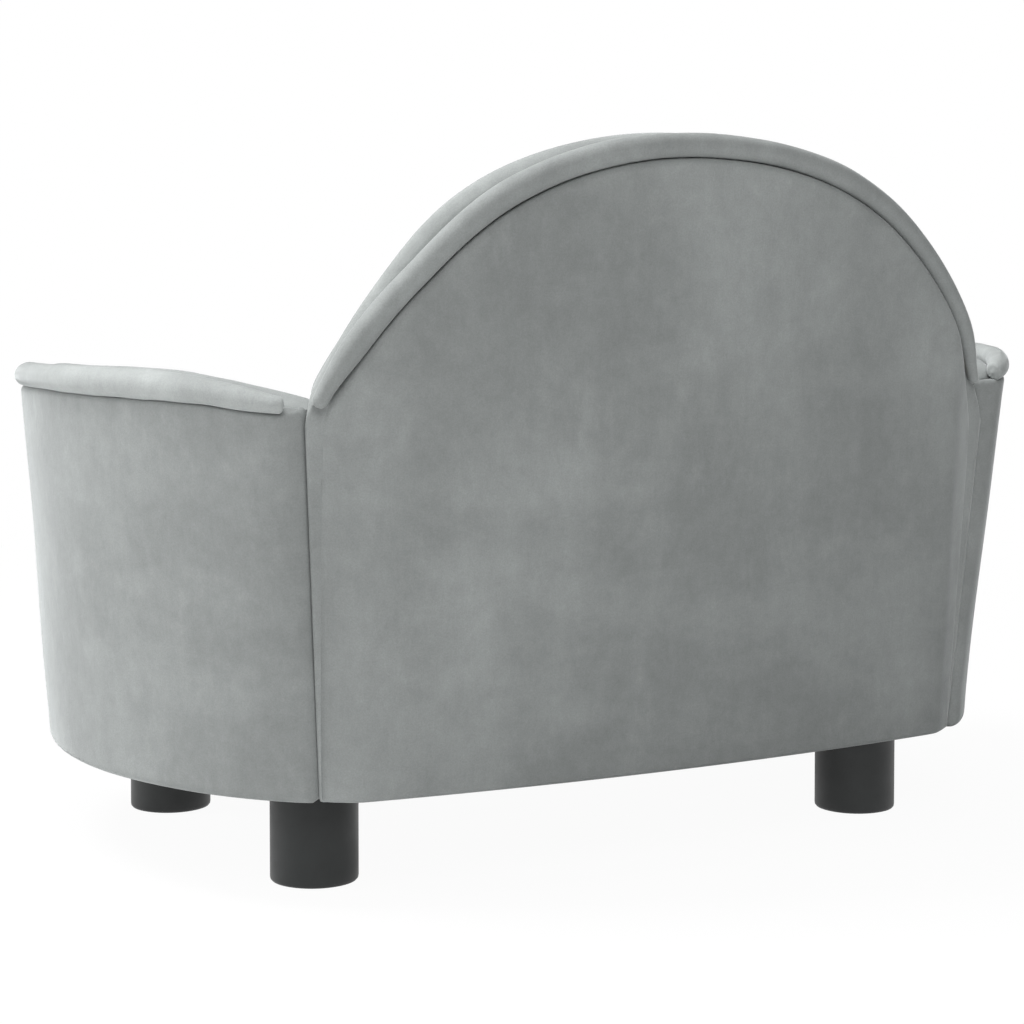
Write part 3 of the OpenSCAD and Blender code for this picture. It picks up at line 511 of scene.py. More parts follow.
def build_back_pad():
    """The padded edge and front of the back: a band outside the roll, a rounded edge, and a crowned face."""
    rounding = 10.0
    edge_depth = BACK_FRONT + 1.2 - rounding
    rear = lambda x: 9.3 + bow_drop(x)
    flat = lambda x: np.full_like(np.asarray(x, float), edge_depth)
    base_at = lambda a: np.minimum(roll_centre(a), band_edge(a)) - 0.6
    rings = []
    for lower, inset in ((10.0, 6.0), (4.0, 1.5)):
        loop = inward(back_outline(rear, lambda a, d=lower: roll_centre(a) - d), inset)
        rings.append(lean(loop[:, 0], rear(loop[:, 0]) + 0.3, loop[:, 1]))
    for t in np.linspace(0, 1, 11):
        depth_at = lambda x, t=t: rear(x) * (1 - t) + edge_depth * t
        lift = max(math.sin(math.pi * (0.10 + 0.90 * t)), 0.0) ** 0.8
        loop = back_outline(depth_at, lambda a, s=lift: base_at(a) + (band_edge(a) - base_at(a)) * s)
        rings.append(lean(loop[:, 0], depth_at(loop[:, 0]), loop[:, 1]))
    base = back_outline(flat, base_at)
    for k, (near, far) in enumerate(end_turn(rounding)[1:], 1):
        part = relaxed(inward(base, far), 3 * k)
        rings.append(lean(part[:, 0], edge_depth + rounding - near, part[:, 1]))
    inner = relaxed(inward(base, rounding), 24)
    even = relaxed(inward(back_outline(flat, base_at, even=True), rounding), 140)
    shares = 1 - np.linspace(0, 1, 52)[1:-1] ** 1.1
    crowned = lambda x, share: edge_depth + rounding + BACK_CROWN * (1 - share**2.6)
    rings += filled_rings(inner, even, shares, 200.0, (17, 90, 0.5), (18, 15, 0.25), 14, crowned)
    points, faces = ring_mesh(rings, lean(0.0, crowned(0.0, 0.0), MIDDLE[1]))
    return add_mesh("back_pad", points, faces, velvet_inner_painted_light)


def build_back_roll():
    """The roll round the arch. It thins towards its ends and sinks in beside them."""
    first, last, tip = 27.0, 152.5, 3.2
    length = math.radians(last - first) * ROLL_ARC
    steps = np.concatenate([np.linspace(0, tip, 9)[:-1], np.linspace(tip, length - tip, 320),
                            np.linspace(length - tip, length, 9)[1:]])
    from_end = np.minimum(steps, length - steps)
    degrees = first + np.degrees(steps / ROLL_ARC)
    angle, reach = np.radians(degrees), roll_centre(degrees)
    x = reach * np.cos(angle)
    sink = 1.6 * (1 - smooth_step(from_end / 40)) + 1.4 * smooth_step((degrees - 112) / 24)
    centres = lean(x, ROLL_DEPTH + bow_drop(x) + sink, ARCH_Z + reach * np.sin(angle))
    ups = lean(np.cos(angle), 0.0, np.sin(angle)) - lean(0.0, 0.0, 0.0)
    sizes = roll_size(degrees) - 2.0 * (1 - smooth_step(from_end / 34)) ** 1.3 + wobble(centres, 27, 34, 0.12)
    blunt = np.sqrt(np.clip(1 - (1 - np.clip(from_end / tip, 0, 1)) ** 2, 0.002, 1))
    ends = [centres[k] + (centres[k] - centres[k + step]) * 0.2 for k, step in ((-1, -1), (0, 1))]
    points, faces = closed_rings(tube(centres, ups, sizes * blunt), *ends)
    return add_mesh("back_roll_cord", points, faces, velvet_arch_painted_light)


# ---------------------------------------------------------------- the arms
def arm_rho(z, depth):
    """Distance from an arm's axis at a height, at a depth inside its outer face."""
    return ARM_R + (z - BASE_Z) * FLARE - depth


# Lines along an arm, by the angle from its middle: towards the front below nought, towards the back above.
# The rim's are heights, by side. The others say how far the covers and the roll stand out or over.
RIM_FRONT = [-45, -42.5, -35, -25, -15, -5, 0]
TOP_FRONT = [211.4, 212.0, 214.2, 217.0, 220.0, 221.4, 221.9]
LOW_FRONT = [205.4, 205.6, 206.2, 207.3, 209.0, 210.2, 210.7]
rim_top = {
    1: curve(RIM_FRONT + [13, 22, 25, 32, 37, 41, 42.5, 45],
             TOP_FRONT + [223.2, 223.4, 223.2, 221.4, 218.8, 216.0, 214.4, 212.0], 1.0),
    -1: curve(RIM_FRONT + [13, 25, 32, 37, 41, 43, 45],
              TOP_FRONT + [223.2, 223.6, 223.4, 222.2, 219.6, 217.6, 213.0], 1.0),
}
rim_low = {
    1: curve(RIM_FRONT + [13, 25, 33, 37, 40, 45], LOW_FRONT + [210.6, 210.7, 210.2, 208.9, 207.9, 207.2], 1.0),
    -1: curve(RIM_FRONT + [13, 25, 33, 37, 41, 45], LOW_FRONT + [210.8, 211.6, 212.0, 211.6, 210.4, 208.6], 1.0),
}
pad_over = curve([-45, -35, -20, 0, 13, 22, 30, 35, 42, 45],
                 [0.6, 0.3, -0.6, -1.0, -0.9, -1.3, -2.6, -3.0, -2.6, -2.2], 1.0)
roll_reach = curve([-45, -30, -18, 0, 20, 45], [3.4, 3.0, 2.4, 3.2, 3.7, 3.9])
swell_low = curve([-45, -40, -36, -30, -20, -10, 0, 10, 20, 30, 36, 40, 45],
                  [0, 1.4, 1.8, 1.6, 0.9, 0.9, 1.2, 1.8, 1.8, 2.6, 2.2, 1.6, 0])
swell_high = curve([-45, -42.5, -39.5, -36, -30, -22, -14, -6, 0, 10, 22, 30, 36, 39.5, 42.5, 45],
                   [1.0, 3.4, 4.2, 3.6, 1.8, -0.6, -1.3, -0.8, 0.0, 0.4, 1.4, 3.4, 5.4, 6.2, 5.0, 1.0], 1.0)


def swell(angle, z):
    """How far the padded outside of an arm stands beyond one plain cone: most near the ends, at the top."""
    share = np.clip((z - BASE_Z) / (ARM_TOP - BASE_Z), 0, 1) ** 1.5
    beyond = swell_low(angle) + (swell_high(angle) - swell_low(angle)) * share
    return beyond * smooth_step((ARM_END - np.abs(angle)) / 2.6)


def arm_point(side, angle, rho, z):
    """A point of an arm from its angle (degrees), its distance from the arm's axis, and its height."""
    angle, rho, z = np.broadcast_arrays(np.radians(angle), rho, z)
    return np.stack([side * (ARM_X + rho * np.cos(angle)), rho * np.sin(angle), z], -1)


def cap_top(side, angle, z, inset, depth):
    """Brings the cover's upper edge down to the rim's low line, outside the boards."""
    along = smooth_step((43.8 - np.abs(angle)) / 1.2)
    under_roll = smooth_step((inset - 1.6) / 2.4) * along + smooth_step((depth - 1.0) / 7.0) * (1 - along)
    drop = (ARM_TOP - rim_low[side](angle)) * (1 - under_roll)
    return z - drop * smooth_step((z - 150) / 60)


def unevened(side, points, seed, soft, pull, fade, keep):
    """An arm's points moved in and out: in soft waves, and in short pulls that fade away from the rim."""
    local = points * [side, 1, 1]
    move = wobble(local, seed + side, *soft)
    move += wobble(local, seed + 2 + side, *pull) * np.exp(-np.abs(ARM_TOP - points[:, 2]) / fade)
    out = points - [side * ARM_X, 0, 0]
    out[:, 2] = 0
    out /= np.linalg.norm(out, axis=1)[:, None]
    return points + out * (move * keep)[:, None]


def build_arm_outer(side):
    """The outer cover: up from under the sofa, round both ends, and in under the roll."""
    low_round, top_round, deepest = 3.5, 2.6, 3.5
    section = [(inset, BASE_Z) for inset in (22.0, 13.0, 7.0)]
    section += [(near, BASE_Z + far) for near, far in end_turn(low_round, 6)]
    section += [(0.0, z) for z in np.linspace(BASE_Z + low_round, ARM_TOP - top_round, 50)[1:]]
    section += [(near, ARM_TOP - far) for near, far in end_turn(top_round, 5)[-2::-1]]
    section += [(inset, ARM_TOP) for inset in (3.2, 3.8, 4.6, 7.0, 10.0, 13.0)]
    rows = []
    for inset, z in section:
        rounding = 4.8 + 2.6 * (z - BASE_Z) / (ARM_TOP - BASE_Z)
        rho0, shrink = arm_rho(z, 0), min(inset, deepest)
        path = []
        for near, far in [(deep, 0.0) for deep in (21.0, 16.0, 12.0)] + end_turn(rounding):
            sunk = max(near, inset) if inset > deepest else near + shrink * max(0.0, 1 - near / rounding)
            back = JOINT_GAP + far + shrink * min(1.0, near / rounding)
            path.append((ARM_END - math.degrees(back / rho0), rho0 - sunk))
        ends = [(-a, r) for a, r in path[::-1]]
        path += [(path[-1][0] * (1 - 2 * m), rho0 - inset) for m in np.linspace(0, 1, 110)[1:-1]] + ends
        angle, rho = np.array(path).T
        tucked = smooth_step((rho0 - rho - 8.0) / 4) * smooth_step((np.abs(angle) - ARM_END + 3.2) / 2.4)
        up = cap_top(side, angle, z, inset, rho0 - rho) - 8.0 * tucked * smooth_step((z - 186) / 26)
        rows.append(arm_point(side, angle, rho + swell(angle, z), up))
    points = np.concatenate(rows)
    keep = smooth_step((points[:, 2] - BASE_Z) / 14) * smooth_step((ARM_TOP - points[:, 2]) / 8)
    points = unevened(side, points, 31, (110, 0.4), (15, 0.2), 7, keep)
    faces = grid_faces(len(rows), len(rows[0]), flip=side > 0)
    return add_mesh("arm_outer_cover_" + SIDES[side], points, faces, velvet_arm, 1)


def build_arm_pad(side):
    """The inner pad: over the top from under the roll, down the inside, round both ends, and closed behind."""
    rounding, middle, half, radius, top = 9.0, 20.4, 13.4, 178.0, ARM_TOP - 1.5
    past_crest = 1.6
    ends = [(shrink, far, ARM_END) for shrink, far in end_turn(rounding)]
    columns = ends + [(0.0, rounding, ARM_END * (1 - 2 * m)) for m in np.linspace(0, 1, 104)[1:-1]]
    columns += [(shrink, far, -ARM_END) for shrink, far, _ in ends[::-1]]
    rows = []
    for shrink, far, at in columns:
        angle = at * (ARM_END - math.degrees((JOINT_GAP + far) / radius)) / ARM_END
        rise = float(rim_top[side](angle) - ARM_TOP + pad_over(angle)) - shrink * 0.35
        column = [(12.5, 196.0), (9.5, ARM_TOP - 3.0)]
        for t in np.linspace(0, math.pi, 25):
            reach = half - shrink * (0.9 if t > past_crest else 0.15)
            column.append((middle - reach * math.cos(t), top + (rise + 1.5) * max(math.sin(t), 0.0) ** 0.85))
        for t in np.linspace(0, 1, 49)[1:]:
            crown = 6.6 * math.sin(math.pi * min(0.015 + t * 0.97, 1.0)) ** 0.85
            depth = middle + half - shrink * 0.9 + crown * (1 - shrink / rounding * 0.5)
            column.append((depth, top + (PAD_LOW - top) * t))
        column += [(29.0, 66.6), (18.0, 66.6), (17.2, 90.0), (16.0, 120.0), (14.6, 160.0)]
        depth, z = np.array(column).T
        out = swell(angle, z) * (1 - smooth_step((depth - 9) / 22))
        rows.append(arm_point(side, angle, arm_rho(z, depth) + out, z))
        if abs(at) == ARM_END and shrink == rounding:
            height = np.clip(z, 80.0, 190.0)
            spine = arm_point(side, angle, arm_rho(height, 24.0), height)
            closing = [spine, (rows[-1] + spine) / 2]
            rows = closing + rows if at > 0 else rows + closing[::-1]
    points = np.concatenate(rows)
    keep = smooth_step((points[:, 2] - 66.5) / 14)
    points = unevened(side, points, 41, (80, 0.5), (14, 0.28), 9, keep)
    faces = grid_faces(len(rows), len(rows[0]), wrap=True, flip=side < 0)
    return add_mesh("arm_pad_" + SIDES[side], points, faces, velvet_inner_painted_light, 1)


def build_arm_roll(side):
    """The roll along an arm's rim, with blunt ends."""
    stop, edge, count = 43.3, 1.8, 230
    length = math.radians(2 * stop) * arm_rho(ARM_TOP, 2.0)
    start, share = np.array(blunt_end(0.4)).T
    start = start / start[-1] * edge
    steps = np.concatenate([start, np.linspace(edge + 0.6, length - edge - 0.6, count), length - start[::-1]])
    angle = stop * (1 - 2 * steps / length)
    full = (rim_top[side](angle) - rim_low[side](angle)) / 2 + 0.15
    height = (rim_top[side](angle) + rim_low[side](angle)) / 2 - 0.15
    out = swell(angle, ARM_TOP) - full + roll_reach(angle)
    if side < 0:  # in the photograph the right roll draws in before the back
        out -= 2.4 * smooth_step((angle - 30) / 12)
    centres = arm_point(side, angle, arm_rho(ARM_TOP, 0) + out, height)
    blunt = np.concatenate([share, np.ones(count), share[::-1]])
    sizes = (full + wobble(centres * [side, 1, 1], 51 + side, 30, 0.13)) * blunt
    points, faces = closed_rings(tube(centres, np.tile([0.0, 0, 1], (len(centres), 1)), sizes))
    return add_mesh("arm_roll_cord_" + SIDES[side], points, faces, velvet_roll_painted_light)


# ---------------------------------------------------------------- the front border
def build_front():
    """The front border: over the rail from under it, down behind, and on over the seat deck between the arms."""
    rear_y, edge, shoulder, columns_across = FRONT_Y + RAIL_IN, 4.0, 80.0, 150
    gap = 0.12 * math.sqrt(2)
    profile = [(27.0, BASE_Z), (10.0, BASE_Z)]
    profile += [(near, BASE_Z + far) for near, far in end_turn(3.0, 6)]
    profile += [(0.0, z) for z in np.linspace(49, 78, 9)]
    profile += [(far, RAIL_H - near) for near, far in end_turn(9.5, 9)[1:]]
    rear_profile = [(far, RAIL_H - near) for near, far in end_turn(6.0, 9)[::-1]]
    rear_profile += [(0.0, z) for z in (80.0, 76.0, 72.0, 68.5, 67.2)]
    tongue = [(rear_y + back, PAD_LOW + 0.05) for back in (0.5, 4.0, 12.0, 20.0, 28.0, 36.0)]
    well = float(arm_rho(PAD_LOW, 33.4))
    turn = end_turn(edge)[:-1]
    spots = [(1.0, shrink, far) for shrink, far in turn]
    spots += [(share, 0.0, edge) for share in np.linspace(1, -1, columns_across)]
    spots += [(-1.0, shrink, far) for shrink, far in turn[::-1]]
    columns = []
    for share, shrink, far in spots:
        column = []
        for inset, z in profile:
            x = CORNER_X
            for _ in range(40):
                y = min(FRONT_Y + rear_depth(x) + inset, rear_y - 0.2)
                x = 0.5 * x + 0.5 * (ARM_X - y - gap)
            x = (x - far * 1.2) * share
            y = min(FRONT_Y + float(rear_depth(x)) + inset + shrink, rear_y - 0.2)
            column.append([x, y, z - shrink * (z > shoulder)])
        for inset, z in rear_profile:
            y = rear_y - inset
            column.append([(ARM_X - y - gap - far * 1.2) * share, y - shrink * 0.5, z - shrink * (z > shoulder)])
        for y, z in tongue:
            x = ARM_X + min(-y, math.sqrt(well**2 - y**2)) - gap - far * 0.15
            column.append([x * share, y, z])
        columns.append(column)
    rows = np.array(columns)
    # The end faces close towards their middle, but not along the tongue
    body = len(profile) + len(rear_profile)
    ends = rows[[0, -1]]
    ends[:, :body] = ends[:, :body] * 0.2 + ends[:, :body].mean(axis=1, keepdims=True) * 0.8
    rows = np.concatenate([ends[:1], rows, ends[1:]])
    points = rows.reshape(-1, 3)
    points[:, 1] -= wobble(points, 61, 70, 0.35) * smooth_step((points[:, 2] - 48) / 12)
    points[:, 2] += wobble(points, 62, 60, 0.3) * smooth_step((points[:, 2] - 74) / 12)
    faces = grid_faces(rows.shape[0], rows.shape[1])
    return add_mesh("front_border", points, faces, velvet_seat, 1)


def build_arm_board(side):
    """The bent board inside an arm, cut round at its upper corners so that it keeps clear of the covers."""
    outer, inner, half, corner_round = 4.2, 10.2, 44.1, 14.0
    across, up = 90, 24
    angle = np.linspace(-half, half, across)
    corner = np.clip((np.abs(angle) - (half - 4.0)) / 4.0, 0, 1)
    top = np.minimum(rim_low[side](angle) - 1.4, ARM_TOP - 1.2) - corner_round * (1 - np.sqrt(1 - corner**2))
    low = BASE_Z + 1.2
    shares = np.linspace(0, 1, up)
    rows = []
    for depth, share in [(outer, t) for t in shares] + [(inner, t) for t in shares[::-1]]:
        z = low + (top - low) * share
        rows.append(arm_point(side, angle, arm_rho(z, depth), z))
    points = np.concatenate(rows)
    faces = [tuple(i % len(points) for i in face) for face in grid_faces(2 * up + 1, across, flip=side < 0)]
    for column in (0, across - 1):
        for k in range(up - 1):
            quad = tuple(row * across + column for row in (k, k + 1, 2 * up - 2 - k, 2 * up - 1 - k))
            faces.append(quad if (column == 0) == (side < 0) else quad[::-1])
    return add_mesh(f"arm_board_{SIDES[side]}_bent", points, faces, raw_wood)


# ---------------------------------------------------------------- the seat cushion
def cushion_reach(angle, margin):
    """Distance from the cushion's middle to its side in a direction, less a margin: two arcs and two straights."""
    c, s = np.cos(angle), np.sin(angle)
    cx = np.where(c < 0, -CUSHION_X, CUSHION_X)
    along = cx * c - CUSHION_Y * s
    side = along + np.sqrt(along**2 - CUSHION_X**2 - CUSHION_Y**2 + (CUSHION_R - margin) ** 2)
    end = np.abs(s) / (CUSHION_HALF - margin)
    return ((1 / side) ** 24 + end**24) ** (-1 / 24)


def cushion_rings(angle, margin, low, high, crown):
    """Rings of the cushion from the middle of its bottom up over its sides to the middle of its top, and its seams."""
    turn = end_turn(SEAM_ROUND, 10)
    spots = [(share, SEAM_ROUND, low) for share in np.linspace(0.04, 1, 22)[:-1]]
    first_seam = len(spots) + len(turn) // 2
    spots += [(1.0, near, low + far) for near, far in turn]
    window = [ZIP_Z + sign * (ZIP_WINDOW + step) for sign in (-1, 1) for step in (-1.2, -0.5, -0.15, 0.15, 0.5, 1.1)]
    heights = sorted([*np.linspace(low + SEAM_ROUND, high - SEAM_ROUND, 34)[1:-1], *window])
    spots += [(1.0, 0.0, z) for z in heights]
    second_seam = len(spots) + len(turn) // 2
    spots += [(1.0, far, high - near) for near, far in turn]
    shares = 1 - np.linspace(0, 0.96, 44)[1:] ** 1.12
    spots += [(share, SEAM_ROUND, high + crown * (1 - share**2.4)) for share in shares]
    rings = []
    for share, inset, z in spots:
        reach = cushion_reach(angle, margin + inset) * share
        rings.append(np.stack([reach * np.cos(angle), CUSHION_Y + reach * np.sin(angle), np.full(len(angle), z)], -1))
    return np.array(rings), (first_seam, second_seam)


def puffed_by_cloth(points, faces):
    """Blows a closed form up with cloth pressure and gives a search tree of the puffed skin."""
    scene = bpy.context.scene
    piece = add_mesh("puffed_copy", points, faces, velvet_seat)
    even = piece.modifiers.new("even", "REMESH")
    even.mode = "VOXEL"
    even.voxel_size = 0.005
    skin = bpy.data.meshes.new_from_object(piece.evaluated_get(bpy.context.evaluated_depsgraph_get()))
    piece.modifiers.clear()
    piece.data = skin
    low = min(v.co.z for v in skin.vertices)
    held = piece.vertex_groups.new(name="held")
    held.add([v.index for v in skin.vertices if v.co.z < low + 0.004], 1.0, "REPLACE")
    cloth = piece.modifiers.new("cloth", "CLOTH")
    cloth.settings.quality = 5
    cloth.settings.use_pressure = True
    cloth.settings.uniform_pressure_force = 4
    cloth.settings.effector_weights.gravity = 0
    cloth.settings.vertex_group_mass = "held"
    for frame_number in range(1, 21):
        scene.frame_set(frame_number)
    result = piece.evaluated_get(bpy.context.evaluated_depsgraph_get()).to_mesh()
    tree = BVHTree.FromPolygons([v.co.copy() for v in result.vertices], [tuple(f.vertices) for f in result.polygons])
    bpy.data.objects.remove(piece)
    scene.frame_set(1)
    return tree


def build_cushion():
    """The cushion's cover: a cloth simulation gives its fullness, then seams, puckers and the zip's opening."""
    low, high, crown = CUSHION_Z + 0.2, CUSHION_Z + CUSHION_H - 0.4, 5.0
    full_top, full_side, least = 7.5, 0.9, -0.6
    extra = [math.atan2(CUSHION_HALF, side * (ZIP_HALF + step)) for side in (-1, 1) for step in (-1.0, -0.3, 0.3, 1.2)]
    angle = np.array(sorted([*np.linspace(-math.pi, math.pi, 300, endpoint=False), *extra]))
    rings, seams = cushion_rings(angle, 0.4, low, high, crown)
    around = np.roll(rings, -1, 1) - np.roll(rings, 1, 1)
    normal = np.cross(around, np.gradient(rings, axis=0))
    normal /= np.maximum(np.linalg.norm(normal, axis=2), 1e-9)[..., None]
    side_share = np.clip((rings[..., 2] - low) / (high - low), 0, 1)
    on_top = smooth_step((rings[..., 2] - high + 1.5) / 2.5)
    limit = full_top * on_top + full_side * np.sin(math.pi * side_share) * (1 - on_top)
    out = np.zeros(rings.shape[:2])
    tree = puffed_by_cloth(*closed_rings(cushion_rings(angle[::2], 1.4, low, high, crown)[0]))
    away, reach = 22.0, 34.0
    for i, j in np.ndindex(out.shape):
        at, way = Vector((rings[i, j] + [0, AXIS_Y, 0]) * MM), Vector(normal[i, j])
        hit, _, _, far = tree.ray_cast(at + way * (away * MM), -way, reach * MM)
        out[i, j] = away - far / MM if hit else 0.0
    out = np.clip(out, least, limit)
    for _ in range(60):
        middle = (np.roll(out, 1, 1) + np.roll(out, -1, 1)) / 2
        middle[1:-1] += (out[2:] + out[:-2]) / 2
        middle[[0, -1]] += middle[[0, -1]]
        out = 0.4 * out + 0.3 * middle
    out[-12:] = out[-12:].mean()
    out = np.clip(out, least, limit)
    run = np.concatenate([[0], np.cumsum(np.linalg.norm(np.diff(rings, axis=0), axis=2).mean(axis=1))])
    flat = rings.reshape(-1, 3)
    pucker = wobble(flat, 71, 11, 0.45).reshape(out.shape)
    out += wobble(flat, 72, 60, 0.55).reshape(out.shape) * on_top
    for seam in seams:
        off = np.abs(run - run[seam])[:, None]
        out += -1.3 * np.exp(-((off / 1.2) ** 2)) + 0.45 * np.exp(-(((off - 2.6) / 1.2) ** 2))
        out += pucker * np.exp(-((off / 6.5) ** 2))
    out *= smooth_step((rings[..., 2] - low) / 1.5)
    rings = rings + normal * out[..., None]
    x, y, z = (rings[..., k] for k in range(3))
    off = np.abs(z - ZIP_Z) - ZIP_WINDOW
    behind = y > CUSHION_Y + 0.8 * CUSHION_HALF
    y[behind & (np.abs(x) < ZIP_HALF) & (off < 0)] = ZIP_FACE - 1.0
    stitched = behind & (np.abs(x) < ZIP_HALF + 3)
    y -= 0.35 * np.exp(-(((off - 2.4) / 0.6) ** 2)) * stitched
    return add_mesh("seat_cushion_cover", *closed_rings(rings), velvet_seat)


def build_zip_tape(name, way):
    """One woven tape of the zip, with a cord along its inner edge."""
    section = ((0.1, 0.0), (0.1, 0.78), (1.2, 0.8), (1.5, 0.55), (5.0, 0.5), (9.4, 0.5), (9.9, 0.4), (9.9, 0.05),
               (5.0, 0.0))
    rows = []
    for x in np.linspace(-115.0, 115.0, 116):
        wave = 0.06 * math.sin(x * 0.35) + 0.04 * math.sin(x * 0.9 + way)
        rows.append([[x, ZIP_FACE - 0.8 + thick + wave * (0.3 if across < 2 else 1), ZIP_Z + way * across]
                     for across, thick in section])
    return add_mesh(name, *closed_rings(rows, flip=way < 0), black_tape)


def build_zip_coil():
    """The closed coil: one wire wound round and round along the zip, over a thin sewn web."""
    turns, steps, half = 136, 12, 108.4
    t = np.arange(turns * steps + 1) / steps
    turn = 2 * math.pi * t
    centres = np.stack([half * (2 * t / turns - 1), ZIP_FACE + 1.95 + 1.25 * np.cos(turn),
                        ZIP_Z + 1.12 * np.sin(turn)], -1)
    ups = np.stack([np.zeros_like(t), np.cos(turn), np.sin(turn)], -1)
    points, faces = closed_rings(tube(centres, ups, 0.36, sides=6))
    web = [[x, ZIP_FACE + y, ZIP_Z + z] for x in (-108.6, 108.6) for y in (0.0, 1.9) for z in (-0.36, 0.36)]
    box = ((0, 1, 3, 2), (4, 6, 7, 5), (0, 4, 5, 1), (2, 3, 7, 6), (0, 2, 6, 4), (1, 5, 7, 3))
    faces += [tuple(len(points) + i for i in face) for face in box]
    return add_mesh("zip_coil_wound", np.vstack([points, web]), faces, zip_plastic)


# ---------------------------------------------------------------- the cloth underneath and the feet
def build_dust_cloth():
    """The black cloth tacked under the frame, drawn tight and hanging a hair between its tacks."""
    front, rear, reach = -120.3, 109.3, ARM_R - 11.5
    along, across = 60, 96
    rows = []
    for y in np.linspace(front, rear, along):
        half = ARM_X + math.sqrt(reach**2 - y**2)
        x = np.linspace(-half, half, across)
        inner = np.sin(math.pi * (x + half) / (2 * half)) * math.sin(math.pi * (y - front) / (rear - front))
        inner = np.clip(inner, 0, 1)
        wrinkle = 0.10 * np.sin(x * 0.21 + y * 0.05) * np.sin(y * 0.17 + 1.0)
        z = BASE_Z + 0.55 - 0.28 * inner**0.6 + wrinkle * inner
        rows.append(np.stack([x, np.full(across, y), z], -1))
    rows = np.array(rows)
    a = rows[1:, 1:] - rows[:-1, :-1]
    b = rows[1:, :-1] - rows[:-1, 1:]
    area = float(np.abs(a[..., 0] * b[..., 1] - a[..., 1] * b[..., 0]).sum() / 2) * MM * MM
    piece = add_mesh("dust_cloth_stretched", rows.reshape(-1, 3), grid_faces(along, across, flip=True), black_felt)
    width = (rows[..., 0].max() - rows[..., 0].min()) * MM
    return piece, (float(width), (rear - front) * MM), area


def build_foot(name, x, y):
    """A turned plastic foot, with a chamfer at its sole and a small one at its top."""
    profile = [(0.01, 0.6), (10.0, 0.6), (12.0, 0.0), (17.2, 0.0), (18.4, 0.35), (19.05, 1.1), (FOOT_R, 2.0)]
    profile += [(FOOT_R, z) for z in np.linspace(6, 40, 8)]
    profile += [(FOOT_R, 43.6), (19.0, 44.2), (18.4, BASE_Z), (6.0, BASE_Z)]
    turn = np.linspace(0, 2 * math.pi, 96, endpoint=False)
    rings = [np.stack([x + r * np.cos(turn), y + r * np.sin(turn), np.full(len(turn), z)], -1) for r, z in profile]
    return add_mesh(name, *ring_mesh(rings), foot_plastic)


# ---------------------------------------------------------------- the pieces, and what each stands for
def stands_for(piece, *nodes, body="sofa_frame", pad=None, slot="velvet"):
    """Puts a piece under its body and hides the solids that it replaces. Its pad and slot are not used."""
    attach(piece, body)
    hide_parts(*nodes)


stands_for(build_rear_panel(), "back_cover_rear", "back_wadding", pad=0.9)
stands_for(build_back_pad(), "back_cover_front", "back_foam", pad=0.85)
stands_for(build_back_roll(), "back_roll", pad=0.95)
for sign, side in SIDES.items():
    stands_for(build_arm_outer(sign), f"arm_cover_outer_{side}", f"arm_wadding_{side}", pad=0.9)
    stands_for(build_arm_pad(sign), f"arm_cover_inner_{side}", f"arm_foam_{side}", pad=0.85)
    stands_for(build_arm_roll(sign), f"arm_roll_{side}", pad=0.95)
    stands_for(build_arm_board(sign), f"arm_board_{side}", slot="wood")
    for end, way in (("front", -1), ("rear", 1)):
        foot = build_foot(f"foot_{end}_{side}_turned", sign * FOOT_X, way * FOOT_Y)
        stands_for(foot, f"foot_{end}_{side}", slot="foot_plastic")
stands_for(build_front(), "front_border_cover", "front_wadding", pad=0.85)
stands_for(build_cushion(), "cushion_foam", "cushion_top_panel", "cushion_boxing", "cushion_bottom_panel",
           body="seat_cushion", pad=0.8)
for height, way in (("upper", 1), ("lower", -1)):
    stands_for(build_zip_tape(f"zip_tape_{height}", way), "zip_tapes", body="seat_cushion", slot="zip_tape")
stands_for(build_zip_coil(), "zip_coil", body="seat_cushion", slot="zip_plastic")
dust, dust_flat, dust_area = build_dust_cloth()
stands_for(dust, "dust_cloth", slot="dust_cloth")

# Materials of the solids, by how their names start: the first that fits counts
kinds = {
    raw_wood: ("seat_deck", "front_rail_board", "back_board", "arm_board", "foot_block", "arm_post", "back_post"),
    zinc: ("arm_bolts", "threaded_inserts", "foot_bolts", "t_nuts", "deck_screws", "dust_cloth_tacks",
           "zip_slider", "zip_puller"),
    black_tape: ("zip_tapes",),
    zip_plastic: ("zip_coil",),
    black_felt: ("dust_cloth",),
    cream_foam: ("back_foam", "arm_foam", "cushion_foam"),
    white_wadding: ("back_wadding", "arm_wadding", "front_wadding"),
    foot_plastic: ("foot_front", "foot_rear"),
    velvet_back: ("back_cover", "arm_cover", "front_border", "back_roll", "arm_roll", "cushion_"),
}
for name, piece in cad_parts.items():
    kind = next(material for material, starts in kinds.items() if name.startswith(starts))
    for slot in piece.material_slots:
        slot.material = kind


# ---------------------------------------------------------------- the room
def seen(tree):
    """1 for the rays by which the room itself is seen, and 0 for those by which it lights the sofa."""
    rays = tree.nodes.new("ShaderNodeLightPath").outputs
    others = maths("MAXIMUM", rays["Is Glossy Ray"], rays["Is Transmission Ray"])
    return maths("MAXIMUM", rays["Is Camera Ray"], others)


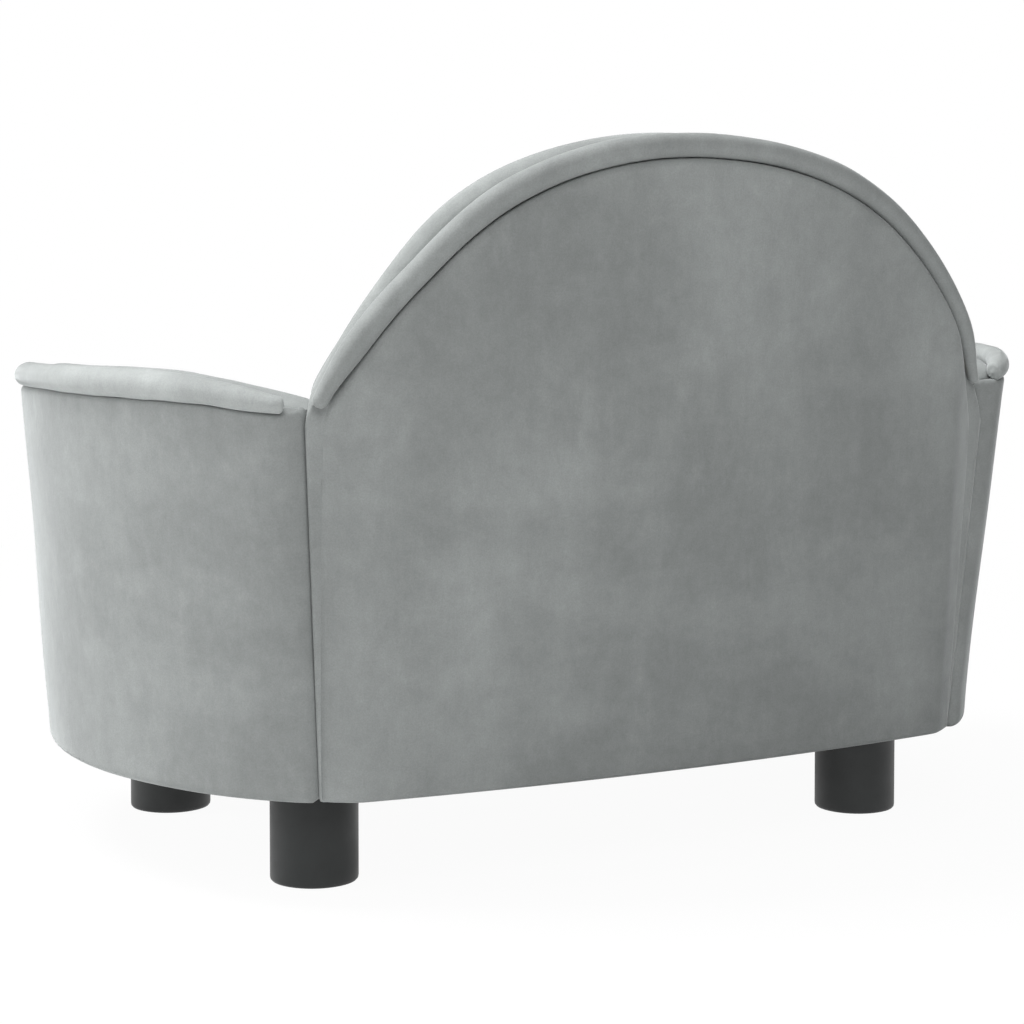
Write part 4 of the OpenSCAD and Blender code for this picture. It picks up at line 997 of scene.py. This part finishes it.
def build_room():
    """White paper that glows where it is seen, a little less near the sofa, under a dim white sky."""
    material, at = new_material("floor_paper")
    tree = material.node_tree
    shader, out = node_of(tree, "BSDF_PRINCIPLED"), node_of(tree, "OUTPUT_MATERIAL")
    fill(tree, shader, {"Base Color": (0.86, 0.86, 0.86), "Roughness": 0.9})
    glow = made(tree, "ShaderNodeEmission", {"Color": (1, 1, 1), "Strength": 1.0})
    away = made(tree, "ShaderNodeVectorMath", {0: at}, "Value", "LENGTH")
    white = maths("MULTIPLY", seen(tree), ramp(away, 0.45, 1.1, 0.955, 1.0))
    surface = made(tree, "ShaderNodeMixShader", {0: white, 1: shader.outputs[0], 2: glow})
    fill(tree, out, {"Surface": surface})
    mesh = bpy.data.meshes.new("floor")
    half = 6.0
    mesh.from_pydata([(-half, -half, 0), (half, -half, 0), (half, half, 0), (-half, half, 0)], [], [(0, 1, 2, 3)])
    mesh.materials.append(material)
    placed("floor", mesh)

    world = bpy.data.worlds.new("studio")
    bpy.context.scene.world = world
    world.use_nodes = True
    tree = world.node_tree
    sky = {"Color": (1, 1, 1), "Strength": ramp(seen(tree), 0, 1, 0.1, 1.0)}
    fill(tree, node_of(tree, "BACKGROUND"), sky)


def area_light(name, where, size, power):
    """A square light that faces the middle of the sofa."""
    light = bpy.data.lights.new(name, "AREA")
    light.size = size
    light.energy = power
    piece = placed(name, light)
    piece.location = where
    piece.rotation_euler = (Vector((0, 0, 0.15)) - Vector(where)).to_track_quat("-Z", "Y").to_euler()


build_room()
area_light("key", (1.2, -0.6, 2.4), 0.9, 60)
area_light("side", (2.2, -1.15, 0.9), 0.9, 33)
area_light("top", (0.0, 0.0, 2.6), 1.2, 20)
area_light("fill", (0.9, 1.9, 1.6), 1.2, 26)

# The camera as fitted to the photograph: where it stands, its heading, and its focal length in the photo's pixels
PHOTO_WIDTH, FOCAL_PIXELS = 1024, 2665.4
heading, pitch = math.radians(29.322), math.radians(3.0)
lens = bpy.data.cameras.new("camera")
lens.sensor_width = 36.0
lens.lens = FOCAL_PIXELS * lens.sensor_width / PHOTO_WIDTH
lens.shift_x, lens.shift_y = 0.0, -0.1585
lens.clip_start, lens.clip_end = 0.05, 50
camera = placed("camera", lens)
camera.location = (0.62868, (1119.01 + AXIS_Y) * MM, 0.28932)
look = Vector((-math.sin(heading) * math.cos(pitch), -math.cos(heading) * math.cos(pitch), -math.sin(pitch)))
camera.rotation_euler = look.to_track_quat("-Z", "Y").to_euler()
bpy.context.scene.camera = camera
bpy.context.scene.view_settings.view_transform = "Standard"
